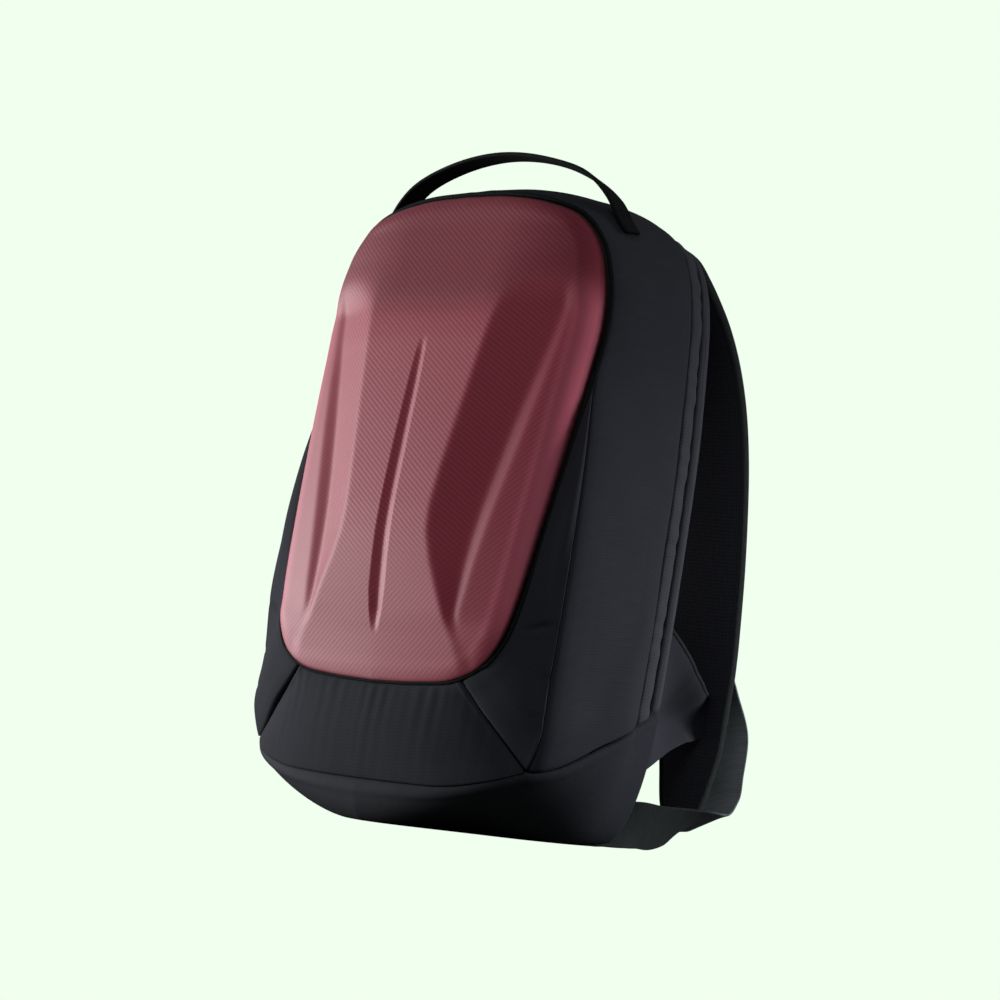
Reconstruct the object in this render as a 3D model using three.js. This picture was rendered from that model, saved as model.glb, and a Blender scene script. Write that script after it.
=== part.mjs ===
// A daypack with a moulded front shell, standing on its own base.
// Millimetres. X runs across the pack, Y from the shell to the wearer's back, Z up.
// Every seam is written upright, as half width, height and depth, and the finished
// pieces are then sheared backwards by the lean that the pack has when it stands.
// Heights are counted from a datum a little above the floor.
import * as THREE from 'three';

const { clamp, degToRad, lerp, mapLinear } = THREE.MathUtils;

// Driving sizes
const LEAN = Math.tan(degToRad(5.9));
const FLOOR = -3.5; // height of the floor from the datum
const HEM = 0.3; // each panel stops this far short of the seam line
const CLOTH = 2;
const SHELL_WALL = 3;
const BASE_WALL = 2.5;
const BACK_PAD = 10;
const BACK_CROWN = 4;
const RIM_ROLL = 3; // the shell's face stands this far in front of its edge

// Swell of the cloth between its seams
const FRONT_CROWN = 3;
const SIDE_CROWN = table(['height', 'crown'], [
  [40, 10],
  [180, 8.5],
  [290, 5],
  [340, 6],
  [385, 11],
  [425, 10],
]);
const WEDGE_CROWN = table(['height', 'crown'], [
  [40, 0],
  [70, 4],
  [110, 0.5],
  [150, 1.5],
  [200, 6],
  [240, 6],
  [290, 2],
  [306, 0],
]);

// Depths of the seams that run round the back of the pack
const ZIP_FRONT = 36;
const SLIT_FRONT = 51;
const SLIT_REAR = 55;
const BACK_EDGE = 68;
const CHAIN_WALL = 1.6;
const CHAIN_SUNK = 2.6; // the zip's chain lies this far below the cloth
const CHAIN_CLEAR = 0.4;

// The base seam climbs from the front corner to the back
const CORNER_HEIGHT = 40;
const CORNER_DEPTH = -54.5;
const SEAM_CLIMB = 0.437;

// A core inside the pack: walls are thickened straight towards it
const CORE = new THREE.Box3(new THREE.Vector3(-88, -45, 62), new THREE.Vector3(88, 32, 345));
const MIDDLE_HEIGHT = 215;

// Edge of the moulded shell, from its bottom middle to its top middle
const SHELL_EDGE = table(['half', 'height', 'depth'], [
  [0, 88, -82],
  [38, 89.5, -81],
  [68, 93.5, -79.5],
  [87, 104, -78.5],
  [98.5, 121, -78],
  [104.5, 145, -77.5],
  [110.5, 200, -74.2],
  [116.5, 260, -70],
  [120.5, 305, -65.5],
  [121, 335, -63.5],
  [117.5, 365, -64],
  [109, 391, -67],
  [94, 409, -71.5],
  [70, 418.5, -76],
  [38, 424, -79.5],
  [0, 425.5, -80.6],
]);
const SHELL_LOW_CORNER = 111; // heights of the corners of the shell's grid
const SHELL_HIGH_CORNER = 402;
const SEAM_MEETS_SHELL = 306; // height where the front corner seam runs into the shell
const DIAGONAL_FROM = 94.8; // height where the diagonal seam leaves the shell

// Relief of the shell: middle and its groove, ridge of the plateau, valley and lip of the side groove
const SHELL_LINES = table(
  ['height', 'middle_d', 'ridge', 'ridge_d', 'valley', 'valley_d', 'lip', 'lip_d', 'groove', 'groove_d'], [
    [88, -84, 74, -81.5, 80, -81, 84, -80.8, 5, 0],
    [104, -86.5, 72, -84, 76, -83, 80, -82, 5, 0],
    [120, -89.7, 66, -88.2, 70, -87.2, 74, -85.8, 5.5, 0],
    [128, -91.8, 62, -90.4, 66, -88.6, 70, -87.6, 6, 2.5],
    [136, -93.8, 58.5, -92.6, 63.3, -89, 66.8, -89, 6.2, 4.6],
    [150, -96.6, 52.7, -95.3, 63.5, -89.2, 68.8, -89.4, 6, 5],
    [170, -99.6, 44, -98.3, 64.7, -88.9, 72, -89.2, 5.6, 5],
    [188, -101.6, 38.4, -100.6, 66.3, -88.2, 75, -88.8, 5.2, 4.8],
    [205, -102.4, 37.6, -101.6, 68.4, -87.4, 77.5, -88, 4.8, 4.6],
    [230, -102.4, 40, -101.2, 73, -85.8, 82.5, -86.2, 4.4, 4.2],
    [260, -101.7, 44.2, -99.8, 79, -83.8, 89, -83.9, 4, 3.6],
    [290, -100.6, 48.5, -98.6, 86, -81.4, 94, -81.3, 3.4, 2.6],
    [312, -99.8, 51.4, -97.8, 91.2, -79.3, 97.4, -79.2, 2.6, 1.2],
    [322, -99.4, 52.8, -97.5, 93.8, -78.5, 98.8, -78.5, 2.4, 0],
    [344, -97.8, 56, -95.8, 98, -76.8, 101.6, -76.9, 2.4, 0],
    [358, -95.4, 56.5, -92.8, 101, -75.2, 103, -75.2, 2.4, 0],
    [380, -90.6, 54, -88.4, 92, -77.5, 97, -75, 2.4, 0],
    [404, -86, 48, -84.8, 78, -80, 86, -77.2, 2.4, 0],
    [426, -83, 40, -82, 66, -79, 74, -77, 2.4, 0],
  ]);
// Rows of the shell's grid, as shares of its height, and its last column inside the edge
const SHELL_ROWS = [0, 0.018, 0.05, 0.09, 0.13, 0.17, 0.21, 0.255, 0.3, 0.36, 0.43, 0.5, 0.57, 0.64,
  0.7, 0.75, 0.79, 0.825, 0.86, 0.9, 0.94, 0.98, 1];
const ROLL_IN = 4;

// Front corner seam, between the wedge panel and the side, from the base seam up
const CORNER_SEAM = table(['half', 'height', 'depth'], [
  [121, CORNER_HEIGHT, CORNER_DEPTH],
  [130, 62, -58],
  [130.5, 95, -60],
  [129.5, 150, -60],
  [125.5, 231, -59.5],
  [121.8, 290, -62.4],
]);

// Arch of the zip's front edge, from the base seam to the top middle
const ARCH = table(['half', 'height'], [
  [131.5, 72],
  [132, 105],
  [131.5, 150],
  [130, 210],
  [127.5, 270],
  [123, 320],
  [117.4, 365],
  [110.6, 391.4],
  [100, 410.8],
  [84.5, 422],
  [60.3, 431.5],
  [30.3, 438],
  [0, 440],
]);
// How far the arches behind it draw in
const ARCH_INSET = table(['depth', 'inset'], [
  [ZIP_FRONT, 0],
  [SLIT_FRONT, 1.6],
  [SLIT_REAR, 2.2],
  [BACK_EDGE, 6],
]);
const ARCH_STEPS = 30; // on each half
const BEND_WEIGHT = 70; // a radian of bend counts as this much length when steps are set out

// Base seam across the front, from the corner to the middle
const FRONT_SEAM = table(['half', 'height', 'depth'], [
  [121, CORNER_HEIGHT, CORNER_DEPTH],
  [105, 32.5, -66],
  [74, 25, -75],
  [38, 23, -79],
  [0, 22.5, -80],
]);
// Flat foot of the base, matched to the base seam from the back to the front middle
const FOOT = table(['along', 'half', 'depth', 'fullness'], [
  [0, 95, 65, 2.5],
  [0.12, 94, 36, 2.4],
  [0.3, 82, 5, 1.8],
  [0.42, 60, -16, 1.35],
  [0.5, 46, -31, 1.25],
  [0.6, 35, -44, 1.3],
  [0.72, 25, -55, 1.5],
  [0.86, 14, -63, 1.65],
  [1, 0, -66, 1.7],
]);
const BASE_STEPS = 24; // on each half
const BASE_DOWN = 6;

// Grab handle: a flat band whose two feet lie on the shoulders
const HANDLE_WIDTH = 18;
const HANDLE_THICK = 3;
const HANDLE_CLEAR = 1.6;
const HANDLE_FEET = table(['share', 'across'], [
  [0.745, 0.215],
  [0.765, 0.21],
]);
const HANDLE_ARCH = table(['half', 'height', 'depth'], [
  [94, 429, -46],
  [76, 444.2, -49.5],
  [41, 457, -52],
  [0, 462, -53],
]);
const HANDLE_STEPS = 28;

// Right shoulder strap, a long pad that bows out behind the back
const STRAP_THICK = 11;
const STRAP_PATH = table(['half', 'height', 'depth', 'roll', 'width'], [
  [41.5, 428, 76.5, -15, 62],
  [44.5, 427, 84.5, -15, 62],
  [47.5, 418.5, 94, -12, 62],
  [54, 396, 108.5, -6, 62],
  [63.5, 362, 121.5, 0, 62],
  [72.5, 325, 133, 0, 62],
  [78.5, 280, 143, 0, 62],
  [83.5, 205, 154, 0, 62],
  [86.5, 130, 162, 0, 60],
  [90, 70, 164, 0, 53],
  [92, 26, 161, 0, 48],
]);
const STRAP_END = 0.05; // share of the strap's length over which each end is rounded
const STRAP_STEPS = 26;
const STRAP_SIDES = 10;
const STRAP_SQUARE = 0.55; // under 1 squares the round section off

// Webbing from the strap's outer face, down to the floor and in to the base's back corner
const WEB_WIDTH = 32;
const WEB_THICK = 1.6;
const WEB_PATH = table(['half', 'height', 'depth', 'roll'], [
  [90, 134, 170, 0],
  [94.5, 113, 181, 0],
  [98.5, 84, 197, 0],
  [99, 54, 199, 0],
  [97.5, 30, 194, 0],
  [98.5, 14, 180, 2],
  [101, 8, 156, 10],
  [104, 6, 134, 28],
  [106, 11.6, 113, 60],
  [105, 13.7, 97, 90],
  [102, 12.7, 83, 110],
  [98, 11.3, 71, 122],
]);
const WEB_STEPS = 36;

// Wing of cloth from the back seam to the strap
const WING_THICK = 2;
const WING = table(['half', 'depth', 'low', 'high'], [
  [123.5, 70.4, 52, 147],
  [124, 88, 59, 135],
  [119, 112, 66, 122],
  [109, 140, 74, 112],
  [101, 156.4, 77, 108],
]);

// Slider and pull of the zip, at the left side where the zip ends
const SLIDER_FROM = 0.6; // share of the left half of the arch
const SLIDER_CLEAR = 0.9;
const SLIDER = table(['along', 'half_width', 'half_thick'], [
  [0, 3, 0.9],
  [22, 3, 0.9],
  [24, 2, 0.9],
  [26, 4.5, 1.8],
  [38, 4.5, 1.8],
]);

function table(columns, rows) {
  return rows.map((row) => Object.fromEntries(columns.map((name, k) => [name, row[k]])));
}

// Value of one column where another column has the value at
function column(rows, key, name, at) {
  const next = rows.findIndex((row) => row[key] >= at);
  if (next === 0) return rows[0][name];
  if (next < 0) return rows.at(-1)[name];
  const low = rows[next - 1];
  const high = rows[next];
  return mapLinear(at, low[key], high[key], low[name], high[name]);
}

function seam(rows) {
  const points = rows.map((row) => new THREE.Vector3(row.half, row.depth, row.height));
  return new THREE.CatmullRomCurve3(points, false, 'centripetal');
}

function shareAtHeight(curve, height) {
  let low = 0;
  let high = 1;
  while (high - low > 1e-7) {
    const middle = (low + high) / 2;
    if (curve.getPointAt(middle).z < height) low = middle;
    else high = middle;
  }
  return low;
}

function stretch(curve, from, to) {
  return (share) => curve.getPointAt(clamp(lerp(from, to, share), 0, 1));
}

function mirror(p) {
  return new THREE.Vector3(-p.x, p.y, p.z);
}

// The whole of a mirrored seam or surface, from its right end over the middle to its left end
function bothSides(half) {
  return (share, across) => (share <= 0.5
    ? half(2 * share, across) : mirror(half(2 * (1 - share), across)));
}

function bothSidesOf(shares) {
  const right = shares.map((share) => share / 2);
  const left = right.slice(0, -1).map((share) => 1 - share).reverse();
  return [...right, ...left];
}

function evenly(steps) {
  return Array.from({ length: steps + 1 }, (_, k) => k / steps);
}

// Shares along a seam that lie closer together where it bends
function bendingShares(curve, steps) {
  const fine = evenly(400);
  const points = fine.map((share) => curve(share));
  const weights = [0];
  for (let k = 1; k < fine.length; k += 1) {
    const step = points[k].clone().sub(points[k - 1]);
    const before = points[Math.max(1, k - 1)].clone().sub(points[Math.max(0, k - 2)]);
    weights.push(weights[k - 1] + step.length() + BEND_WEIGHT * step.angleTo(before));
  }
  const rows = table(['weight', 'share'], weights.map((weight, k) => [weight, fine[k]]));
  return evenly(steps).map((part) => column(rows, 'weight', 'share', part * weights.at(-1)));
}

function outward(p) {
  return p.clone().sub(CORE.clampPoint(p, new THREE.Vector3())).normalize();
}

// Away from the pack's middle, straight across the seams that run round it
function sideways(p) {
  return outward(p).setY(0).normalize();
}

function thickened(p, thickness) {
  return p.clone().addScaledVector(outward(p), -thickness);
}

// Points and triangles of one closed piece, given upright and kept leaning
class Solid {
  constructor() {
    this.points = [];
    this.faces = [];
  }

  add(p) {
    this.points.push(new THREE.Vector3(p.x, p.y + LEAN * p.z, p.z - FLOOR));
    return this.points.length - 1;
  }

  quad(a, b, c, d) {
    this.faces.push([a, b, c], [a, c, d]);
  }

  volume() {
    const cross = new THREE.Vector3();
    return this.faces.reduce((sum, [a, b, c]) => {
      cross.crossVectors(this.points[b], this.points[c]);
      return sum + this.points[a].dot(cross) / 6;
    }, 0);
  }

  geometry() {
    const inside = this.volume() < 0;
    const faces = inside ? this.faces.map(([a, b, c]) => [a, c, b]) : this.faces;
    const positions = this.points.flatMap((p) => p.toArray());
    const geometry = new THREE.BufferGeometry();
    geometry.setAttribute('position', new THREE.Float32BufferAttribute(positions, 3));
    geometry.setIndex(faces.flat());
    geometry.computeVertexNormals();
    return geometry;
  }
}

// Draws the outermost rows and columns of a grid in by the hem
function hemmed(grid) {
  const last = grid.length - 1;
  const end = grid[0].length - 1;
  const drawIn = (p, towards) => p.add(towards.clone().sub(p).setLength(HEM));
  for (let k = 0; k <= end; k += 1) {
    drawIn(grid[0][k], grid[1][k]);
    drawIn(grid[last][k], grid[last - 1][k]);
  }
  for (let j = 0; j <= last; j += 1) {
    drawIn(grid[j][0], grid[j][1]);
    drawIn(grid[j][end], grid[j][end - 1]);
  }
  return grid;
}

// A wall of cloth: an outer grid, the same grid moved towards the core, and a border
function wallFromGrid(grid, thickness) {
  const solid = new Solid();
  const last = grid.length - 1;
  const end = grid[0].length - 1;
  const outer = grid.map((row) => row.map((p) => solid.add(p)));
  const inner = grid.map((row) => row.map((p) => solid.add(thickened(p, thickness))));
  for (let j = 0; j < last; j += 1) {
    for (let k = 0; k < end; k += 1) {
      solid.quad(outer[j][k], outer[j][k + 1], outer[j + 1][k + 1], outer[j + 1][k]);
      solid.quad(inner[j][k], inner[j + 1][k], inner[j + 1][k + 1], inner[j][k + 1]);
    }
    solid.quad(outer[j][0], outer[j + 1][0], inner[j + 1][0], inner[j][0]);
    solid.quad(outer[j + 1][end], outer[j][end], inner[j][end], inner[j + 1][end]);
  }
  for (let k = 0; k < end; k += 1) {
    solid.quad(outer[0][k + 1], outer[0][k], inner[0][k], inner[0][k + 1]);
    solid.quad(outer[last][k], outer[last][k + 1], inner[last][k + 1], inner[last][k]);
  }
  return solid.geometry();
}

function gridOf(surface, shares, columns) {
  return shares.map((share) => evenly(columns).map((across) => surface(share, across)));
}

function panel(surface, shares, columns, thickness = CLOTH) {
  return wallFromGrid(hemmed(gridOf(surface, shares, columns)), thickness);
}

// Seams of the right half
const shellEdge = seam(SHELL_EDGE);
const cornerSeam = seam(CORNER_SEAM);
const frontSeam = seam(FRONT_SEAM);
const zipArch = seam(ARCH.map((row) => ({ ...row, depth: ZIP_FRONT })));
const meetShare = shareAtHeight(shellEdge, SEAM_MEETS_SHELL);
const diagonalShare = shareAtHeight(shellEdge, DIAGONAL_FROM);

// One arch round the back of the pack, from the base seam to the top middle
function archAt(depth) {
  const inset = column(ARCH_INSET, 'depth', 'inset', depth);
  const seamHeight = CORNER_HEIGHT + SEAM_CLIMB * (depth - CORNER_DEPTH);
  const half = stretch(zipArch, shareAtHeight(zipArch, seamHeight), 1);
  const narrower = 1 - inset / ARCH[1].half;
  const lower = 1 - inset / (ARCH.at(-1).height - MIDDLE_HEIGHT);
  return (share) => {
    const p = half(share);
    const rise = p.z - MIDDLE_HEIGHT;
    return new THREE.Vector3(p.x * narrower, depth, MIDDLE_HEIGHT + rise * (rise > 0 ? lower : 1));
  };
}

const zipFront = archAt(ZIP_FRONT);
const archShares = bendingShares(zipFront, ARCH_STEPS);

// Front edge of the side panel: the corner seam, then the shell's edge over the top
function sideFront(share) {
  const cornerLength = cornerSeam.getLength();
  const overLength = shellEdge.getLength() * (1 - meetShare);
  const at = share * (cornerLength + overLength);
  if (at < cornerLength) return cornerSeam.getPointAt(at / cornerLength);
  return stretch(shellEdge, meetShare, 1)((at - cornerLength) / overLength);
}

function sideSurface(share, across) {
  const p = sideFront(share).lerp(zipFront(share), across);
  const swell = column(SIDE_CROWN, 'height', 'crown', p.z) * (1 - Math.abs(2 * across - 1) ** 4);
  return p.addScaledVector(sideways(p), swell);
}

function sidePanel() {
  return panel(bothSides(sideSurface), bothSidesOf(archShares), 6);
}

function archBand(front, rear) {
  const frontArch = archAt(front);
  const rearArch = archAt(rear);
  const surface = (share, across) => frontArch(share).lerp(rearArch(share), across);
  return panel(bothSides(surface), bothSidesOf(archShares), 1);
}

// The zip's chain lies in the slit, a little below the cloth on both sides
function zipChain() {
  const frontArch = archAt(SLIT_FRONT + CHAIN_CLEAR);
  const rearArch = archAt(SLIT_REAR - CHAIN_CLEAR);
  const surface = (share, across) => {
    const p = frontArch(share).lerp(rearArch(share), across);
    return p.addScaledVector(sideways(p), -CHAIN_SUNK);
  };
  return panel(bothSides(surface), bothSidesOf(archShares), 1, CHAIN_WALL);
}

// Base seam from the back corner, along the side and across the front to the middle
function baseSeam(share) {
  const back = archAt(BACK_EDGE)(0);
  const front = zipFront(0);
  const backLength = back.distanceTo(front);
  const sideLength = front.distanceTo(sideFront(0));
  const frontLength = frontSeam.getLength();
  const at = share * (backLength + sideLength + frontLength);
  if (at < backLength) return back.lerp(front, at / backLength);
  if (at < backLength + sideLength) return sideSurface(0, 1 - (at - backLength) / sideLength);
  return stretch(frontSeam, 0, 1)((at - backLength - sideLength) / frontLength);
}

// The base curves from its seam down to the flat foot
function baseSurface(share, down) {
  const rim = baseSeam(share);
  const power = 2 / column(FOOT, 'along', 'fullness', share);
  const angle = (1 - down) * Math.PI / 2;
  const out = Math.sin(angle) ** power;
  const up = 1 - Math.max(0, Math.cos(angle)) ** power;
  const half = lerp(column(FOOT, 'along', 'half', share), rim.x, out);
  const depth = lerp(column(FOOT, 'along', 'depth', share), rim.y, out);
  return new THREE.Vector3(half, depth, lerp(FLOOR, rim.z, up));
}

// A tray: walls down from the base seam and a flat floor, open at the back
function basePanel() {
  const grid = hemmed(gridOf(bothSides(baseSurface), bothSidesOf(evenly(BASE_STEPS)), BASE_DOWN));
  grid.forEach((row) => row.at(-1).setZ(FLOOR));
  const hub = new THREE.Vector3(0, grid[0].at(-1).y, FLOOR);
  const solid = new Solid();
  const outer = grid.map((row) => row.map((p) => solid.add(p)));
  const inner = grid.map((row) => row.map((p) => solid.add(thickened(p, BASE_WALL))));
  const hubOut = solid.add(hub);
  const hubIn = solid.add(thickened(hub, BASE_WALL));
  const last = grid.length - 1;
  for (let j = 0; j < last; j += 1) {
    for (let k = 0; k < BASE_DOWN; k += 1) {
      solid.quad(outer[j][k], outer[j + 1][k], outer[j + 1][k + 1], outer[j][k + 1]);
      solid.quad(inner[j][k], inner[j][k + 1], inner[j + 1][k + 1], inner[j + 1][k]);
    }
    solid.faces.push([outer[j][BASE_DOWN], outer[j + 1][BASE_DOWN], hubOut]);
    solid.faces.push([inner[j + 1][BASE_DOWN], inner[j][BASE_DOWN], hubIn]);
    solid.quad(outer[j + 1][0], outer[j][0], inner[j][0], inner[j + 1][0]);
  }
  for (let k = 0; k < BASE_DOWN; k += 1) {
    solid.quad(outer[0][k], outer[0][k + 1], inner[0][k + 1], inner[0][k]);
    solid.quad(outer[last][k + 1], outer[last][k], inner[last][k], inner[last][k + 1]);
  }
  solid.quad(outer[0][BASE_DOWN], hubOut, hubIn, inner[0][BASE_DOWN]);
  solid.quad(hubOut, outer[last][BASE_DOWN], inner[last][BASE_DOWN], hubIn);
  return solid.geometry();
}

// The padded back fills the loop of the rear arch and the base's back edge
function backPanel() {
  const low = evenly(BASE_DOWN).map((share) => baseSurface(0, 1 - share));
  const half = [...low, ...archShares.slice(1).map(archAt(BACK_EDGE))];
  const loop = [...half, ...half.slice(0, -1).map(mirror).reverse()];
  const middle = new THREE.Vector3(0, BACK_EDGE, MIDDLE_HEIGHT);
  const solid = new Solid();
  const rings = [0, 0.08, 0.45].map((share) => loop.map((edge) => {
    const p = edge.clone().add(middle.clone().sub(edge).setLength(2 * HEM)).lerp(middle, share);
    p.y += BACK_CROWN * (1 - (1 - share) ** 4);
    p.z = Math.max(p.z, FLOOR + 2 * HEM);
    return p;
  }));
  const hub = middle.clone().setY(BACK_EDGE + BACK_CROWN);
  const outer = rings.map((ring) => ring.map((p) => solid.add(p)));
  const inner = rings.map((ring) => ring.map((p) => solid.add(thickened(p, BACK_PAD))));
  const hubOut = solid.add(hub);
  const hubIn = solid.add(thickened(hub, BACK_PAD));
  const innermost = rings.length - 1;
  for (let k = 0; k < loop.length; k += 1) {
    const next = (k + 1) % loop.length;
    for (let r = 0; r < innermost; r += 1) {
      solid.quad(outer[r][k], outer[r][next], outer[r + 1][next], outer[r + 1][k]);
      solid.quad(inner[r][next], inner[r][k], inner[r + 1][k], inner[r + 1][next]);
    }
    solid.faces.push([outer[innermost][k], outer[innermost][next], hubOut]);
    solid.faces.push([inner[innermost][next], inner[innermost][k], hubIn]);
    solid.quad(outer[0][next], outer[0][k], inner[0][k], inner[0][next]);
  }
  return solid.geometry();
}

// Lower front panel, between the shell's bottom edge, the diagonal seams and the base seam
function lowerFrontPanel() {
  const top = stretch(shellEdge, diagonalShare, 0);
  const bottom = stretch(frontSeam, 0, 1);
  const surface = (share, down) => {
    const p = top(share).lerp(bottom(share), down);
    const swell = FRONT_CROWN * Math.sin(Math.PI * down) * Math.sin(Math.PI * share / 2);
    return p.addScaledVector(outward(p), swell);
  };
  return panel(bothSides(surface), bothSidesOf(evenly(12)), 4);
}

// Wedge panel between the shell's side, the corner seam and the diagonal seam
function wedgePanel() {
  const reach = 0.98; // it stops short of the point where its two sides meet
  const shellSide = stretch(shellEdge, diagonalShare, meetShare);
  const surface = (up, across) => {
    const p = shellSide(up * reach).lerp(cornerSeam.getPointAt(up * reach), across);
    const swell = column(WEDGE_CROWN, 'height', 'crown', p.z) * Math.sin(Math.PI * across);
    return p.addScaledVector(outward(p), swell);
  };
  const shares = bendingShares((up) => shellSide(up * reach), 24);
  return panel(surface, shares, 3);
}

// Depth of the shell's moulded face at a half width and height
function shellRelief(half, height, edge) {
  const at = (name) => column(SHELL_LINES, 'height', name, height);
  const rows = table(['half', 'depth'], [
    [0, at('middle_d') + at('groove_d')],
    [at('groove'), at('middle_d')],
    [at('ridge'), at('ridge_d')],
    [at('valley'), at('valley_d')],
    [at('lip'), at('lip_d')],
    [Math.max(edge.x, at('lip') + 1), edge.y - RIM_ROLL],
  ]);
  return column(rows, 'half', 'depth', half);
}

// The moulded shell: its grid lines follow the groove, ridge, valley and lip
function frontShell() {
  const lowShare = shareAtHeight(shellEdge, SHELL_LOW_CORNER);
  const highShare = shareAtHeight(shellEdge, SHELL_HIGH_CORNER);
  const side = stretch(shellEdge, lowShare, highShare);
  const bottom = stretch(shellEdge, 0, lowShare);
  const top = stretch(shellEdge, 1, highShare);
  // Right half of the patch that spans the middle line and the three sides of the edge
  const spanned = (across, up) => {
    const rows = bottom(across).lerp(top(across), up);
    const columns = bottom(0).lerp(top(0), up).lerp(side(up), across);
    const corners = bottom(0).lerp(top(0), up).lerp(bottom(1).lerp(top(1), up), across);
    return rows.add(columns).sub(corners);
  };
  const columnsAt = (up) => {
    const edge = side(up).x;
    const height = spanned(0.4, up).z;
    const at = (name) => column(SHELL_LINES, 'height', name, height) / edge;
    const roll = 1 - ROLL_IN / edge;
    const lip = Math.min(at('lip'), roll - 0.06);
    const valley = Math.min(at('valley'), lip - 0.02);
    const ridge = Math.min(at('ridge'), valley - 0.03);
    const slope = (ridge + valley) / 2;
    return [0, at('groove'), 0.3 * ridge, 0.65 * ridge, ridge, slope, valley, lip, (lip + roll) / 2, roll, 1];
  };
  const rightHalf = SHELL_ROWS.map((up) => columnsAt(up).map((across) => {
    const p = spanned(across, up);
    const onEdge = across === 1 || up === 0 || up === 1;
    if (!onEdge) p.y = shellRelief(p.x, p.z, side(up));
    return p;
  }));
  const grid = rightHalf.map((row) => [...row.slice(1).map(mirror).reverse(), ...row]);
  return wallFromGrid(hemmed(grid), SHELL_WALL);
}

// A bar swept through stations, each with its own centre, directions and half sizes
function swept(stations, section) {
  const solid = new Solid();
  const rings = stations.map((station) => section.map(([wide, thick]) => {
    const p = station.centre.clone();
    p.addScaledVector(station.wide, wide * station.halfWidth);
    return solid.add(p.addScaledVector(station.thick, thick * station.halfThick));
  }));
  const last = rings.length - 1;
  for (let k = 0; k < section.length; k += 1) {
    const next = (k + 1) % section.length;
    // Both faces of a twisted band are cut along the same diagonal, so that they never cross
    const upper = section[k][1] + section[next][1] > 0;
    for (let j = 0; j < last; j += 1) {
      if (upper) solid.quad(rings[j][k], rings[j][next], rings[j + 1][next], rings[j + 1][k]);
      else solid.quad(rings[j][next], rings[j + 1][next], rings[j + 1][k], rings[j][k]);
    }
    if (k === 0 || next === 0) continue;
    solid.faces.push([rings[0][0], rings[0][next], rings[0][k]]);
    solid.faces.push([rings[last][0], rings[last][k], rings[last][next]]);
  }
  return solid.geometry();
}

const FLAT_SECTION = [[-1, -1], [1, -1], [1, 1], [-1, 1]];

function roundSection(sides, power) {
  const bend = (x) => Math.sign(x) * Math.abs(x) ** power;
  return Array.from({ length: sides }, (_, k) => {
    const angle = 2 * Math.PI * (k + 0.5) / sides;
    return [bend(Math.cos(angle)), bend(Math.sin(angle))];
  });
}

// A station square to the curve, its width as near as it can be to the wanted direction
function stationOn(curve, share, wanted, halfWidth, halfThick) {
  const tangent = curve.getTangentAt(share);
  const wide = wanted.clone().addScaledVector(tangent, -wanted.dot(tangent)).normalize();
  const thick = new THREE.Vector3().crossVectors(tangent, wide);
  return { centre: curve.getPointAt(share), wide, thick, halfWidth, halfThick };
}

// Value of a column between the rows that a curve was drawn through
function between(rows, curve, share, name) {
  const t = curve.getUtoTmapping(share) * (rows.length - 1);
  const low = Math.min(rows.length - 2, Math.floor(t));
  return lerp(rows[low][name], rows[low + 1][name], t - low);
}

// Width direction of a strap whose table gives a roll about its run
function rolled(rows, curve, share) {
  const angle = degToRad(between(rows, curve, share, 'roll'));
  return new THREE.Vector3(Math.cos(angle), 0, Math.sin(angle));
}

function grabHandle() {
  const clear = HANDLE_CLEAR + HANDLE_THICK / 2;
  const feet = HANDLE_FEET.map((row) => {
    const p = sideSurface(row.share, row.across);
    return p.addScaledVector(sideways(p), clear);
  });
  const right = [...feet, ...HANDLE_ARCH.map((row) => new THREE.Vector3(row.half, row.depth, row.height))];
  const curve = new THREE.CatmullRomCurve3([...right, ...right.slice(0, -1).map(mirror).reverse()]);
  const across = new THREE.Vector3(0, 1, 0);
  const stations = evenly(HANDLE_STEPS).map((share) => stationOn(
    curve, share, across, HANDLE_WIDTH / 2, HANDLE_THICK / 2));
  return swept(stations, FLAT_SECTION);
}

function shoulderStrap() {
  const curve = seam(STRAP_PATH);
  const stations = evenly(STRAP_STEPS).map((share) => {
    const fromEnd = Math.min(1, share / STRAP_END, (1 - share) / STRAP_END);
    const round = Math.sqrt(1 - (1 - fromEnd) ** 2);
    const halfWidth = between(STRAP_PATH, curve, share, 'width') / 2 * lerp(0.72, 1, round);
    const halfThick = STRAP_THICK / 2 * lerp(0.45, 1, round);
    return stationOn(curve, share, rolled(STRAP_PATH, curve, share), halfWidth, halfThick);
  });
  return swept(stations, roundSection(STRAP_SIDES, STRAP_SQUARE));
}

function strapWebbing() {
  const curve = seam(WEB_PATH);
  const stations = evenly(WEB_STEPS).map((share) => stationOn(
    curve, share, rolled(WEB_PATH, curve, share), WEB_WIDTH / 2, WEB_THICK / 2));
  return swept(stations, FLAT_SECTION);
}

function strapWing() {
  const curve = seam(WING.map((row) => ({ ...row, height: (row.low + row.high) / 2 })));
  const upwards = new THREE.Vector3(0, 0, 1);
  const stations = WING.map((row) => {
    const share = curve.getLengths(WING.length - 1)[WING.indexOf(row)] / curve.getLength();
    const station = stationOn(curve, share, upwards, (row.high - row.low) / 2, WING_THICK / 2);
    return { ...station, wide: upwards };
  });
  return swept(stations, FLAT_SECTION);
}

function zipSlider() {
  const arch = archAt((SLIT_FRONT + SLIT_REAR) / 2);
  const clear = SLIDER_CLEAR + SLIDER.at(-1).half_thick;
  const onArch = (share) => {
    const p = arch(share);
    return mirror(p.addScaledVector(sideways(p), clear));
  };
  const wide = new THREE.Vector3(0, 1, 0);
  const stations = SLIDER.map((row) => {
    const centre = onArch(SLIDER_FROM + row.along / zipArch.getLength());
    return {
      centre,
      wide,
      thick: sideways(centre),
      halfWidth: row.half_width,
      halfThick: row.half_thick,
    };
  });
  return swept(stations, FLAT_SECTION);
}

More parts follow.
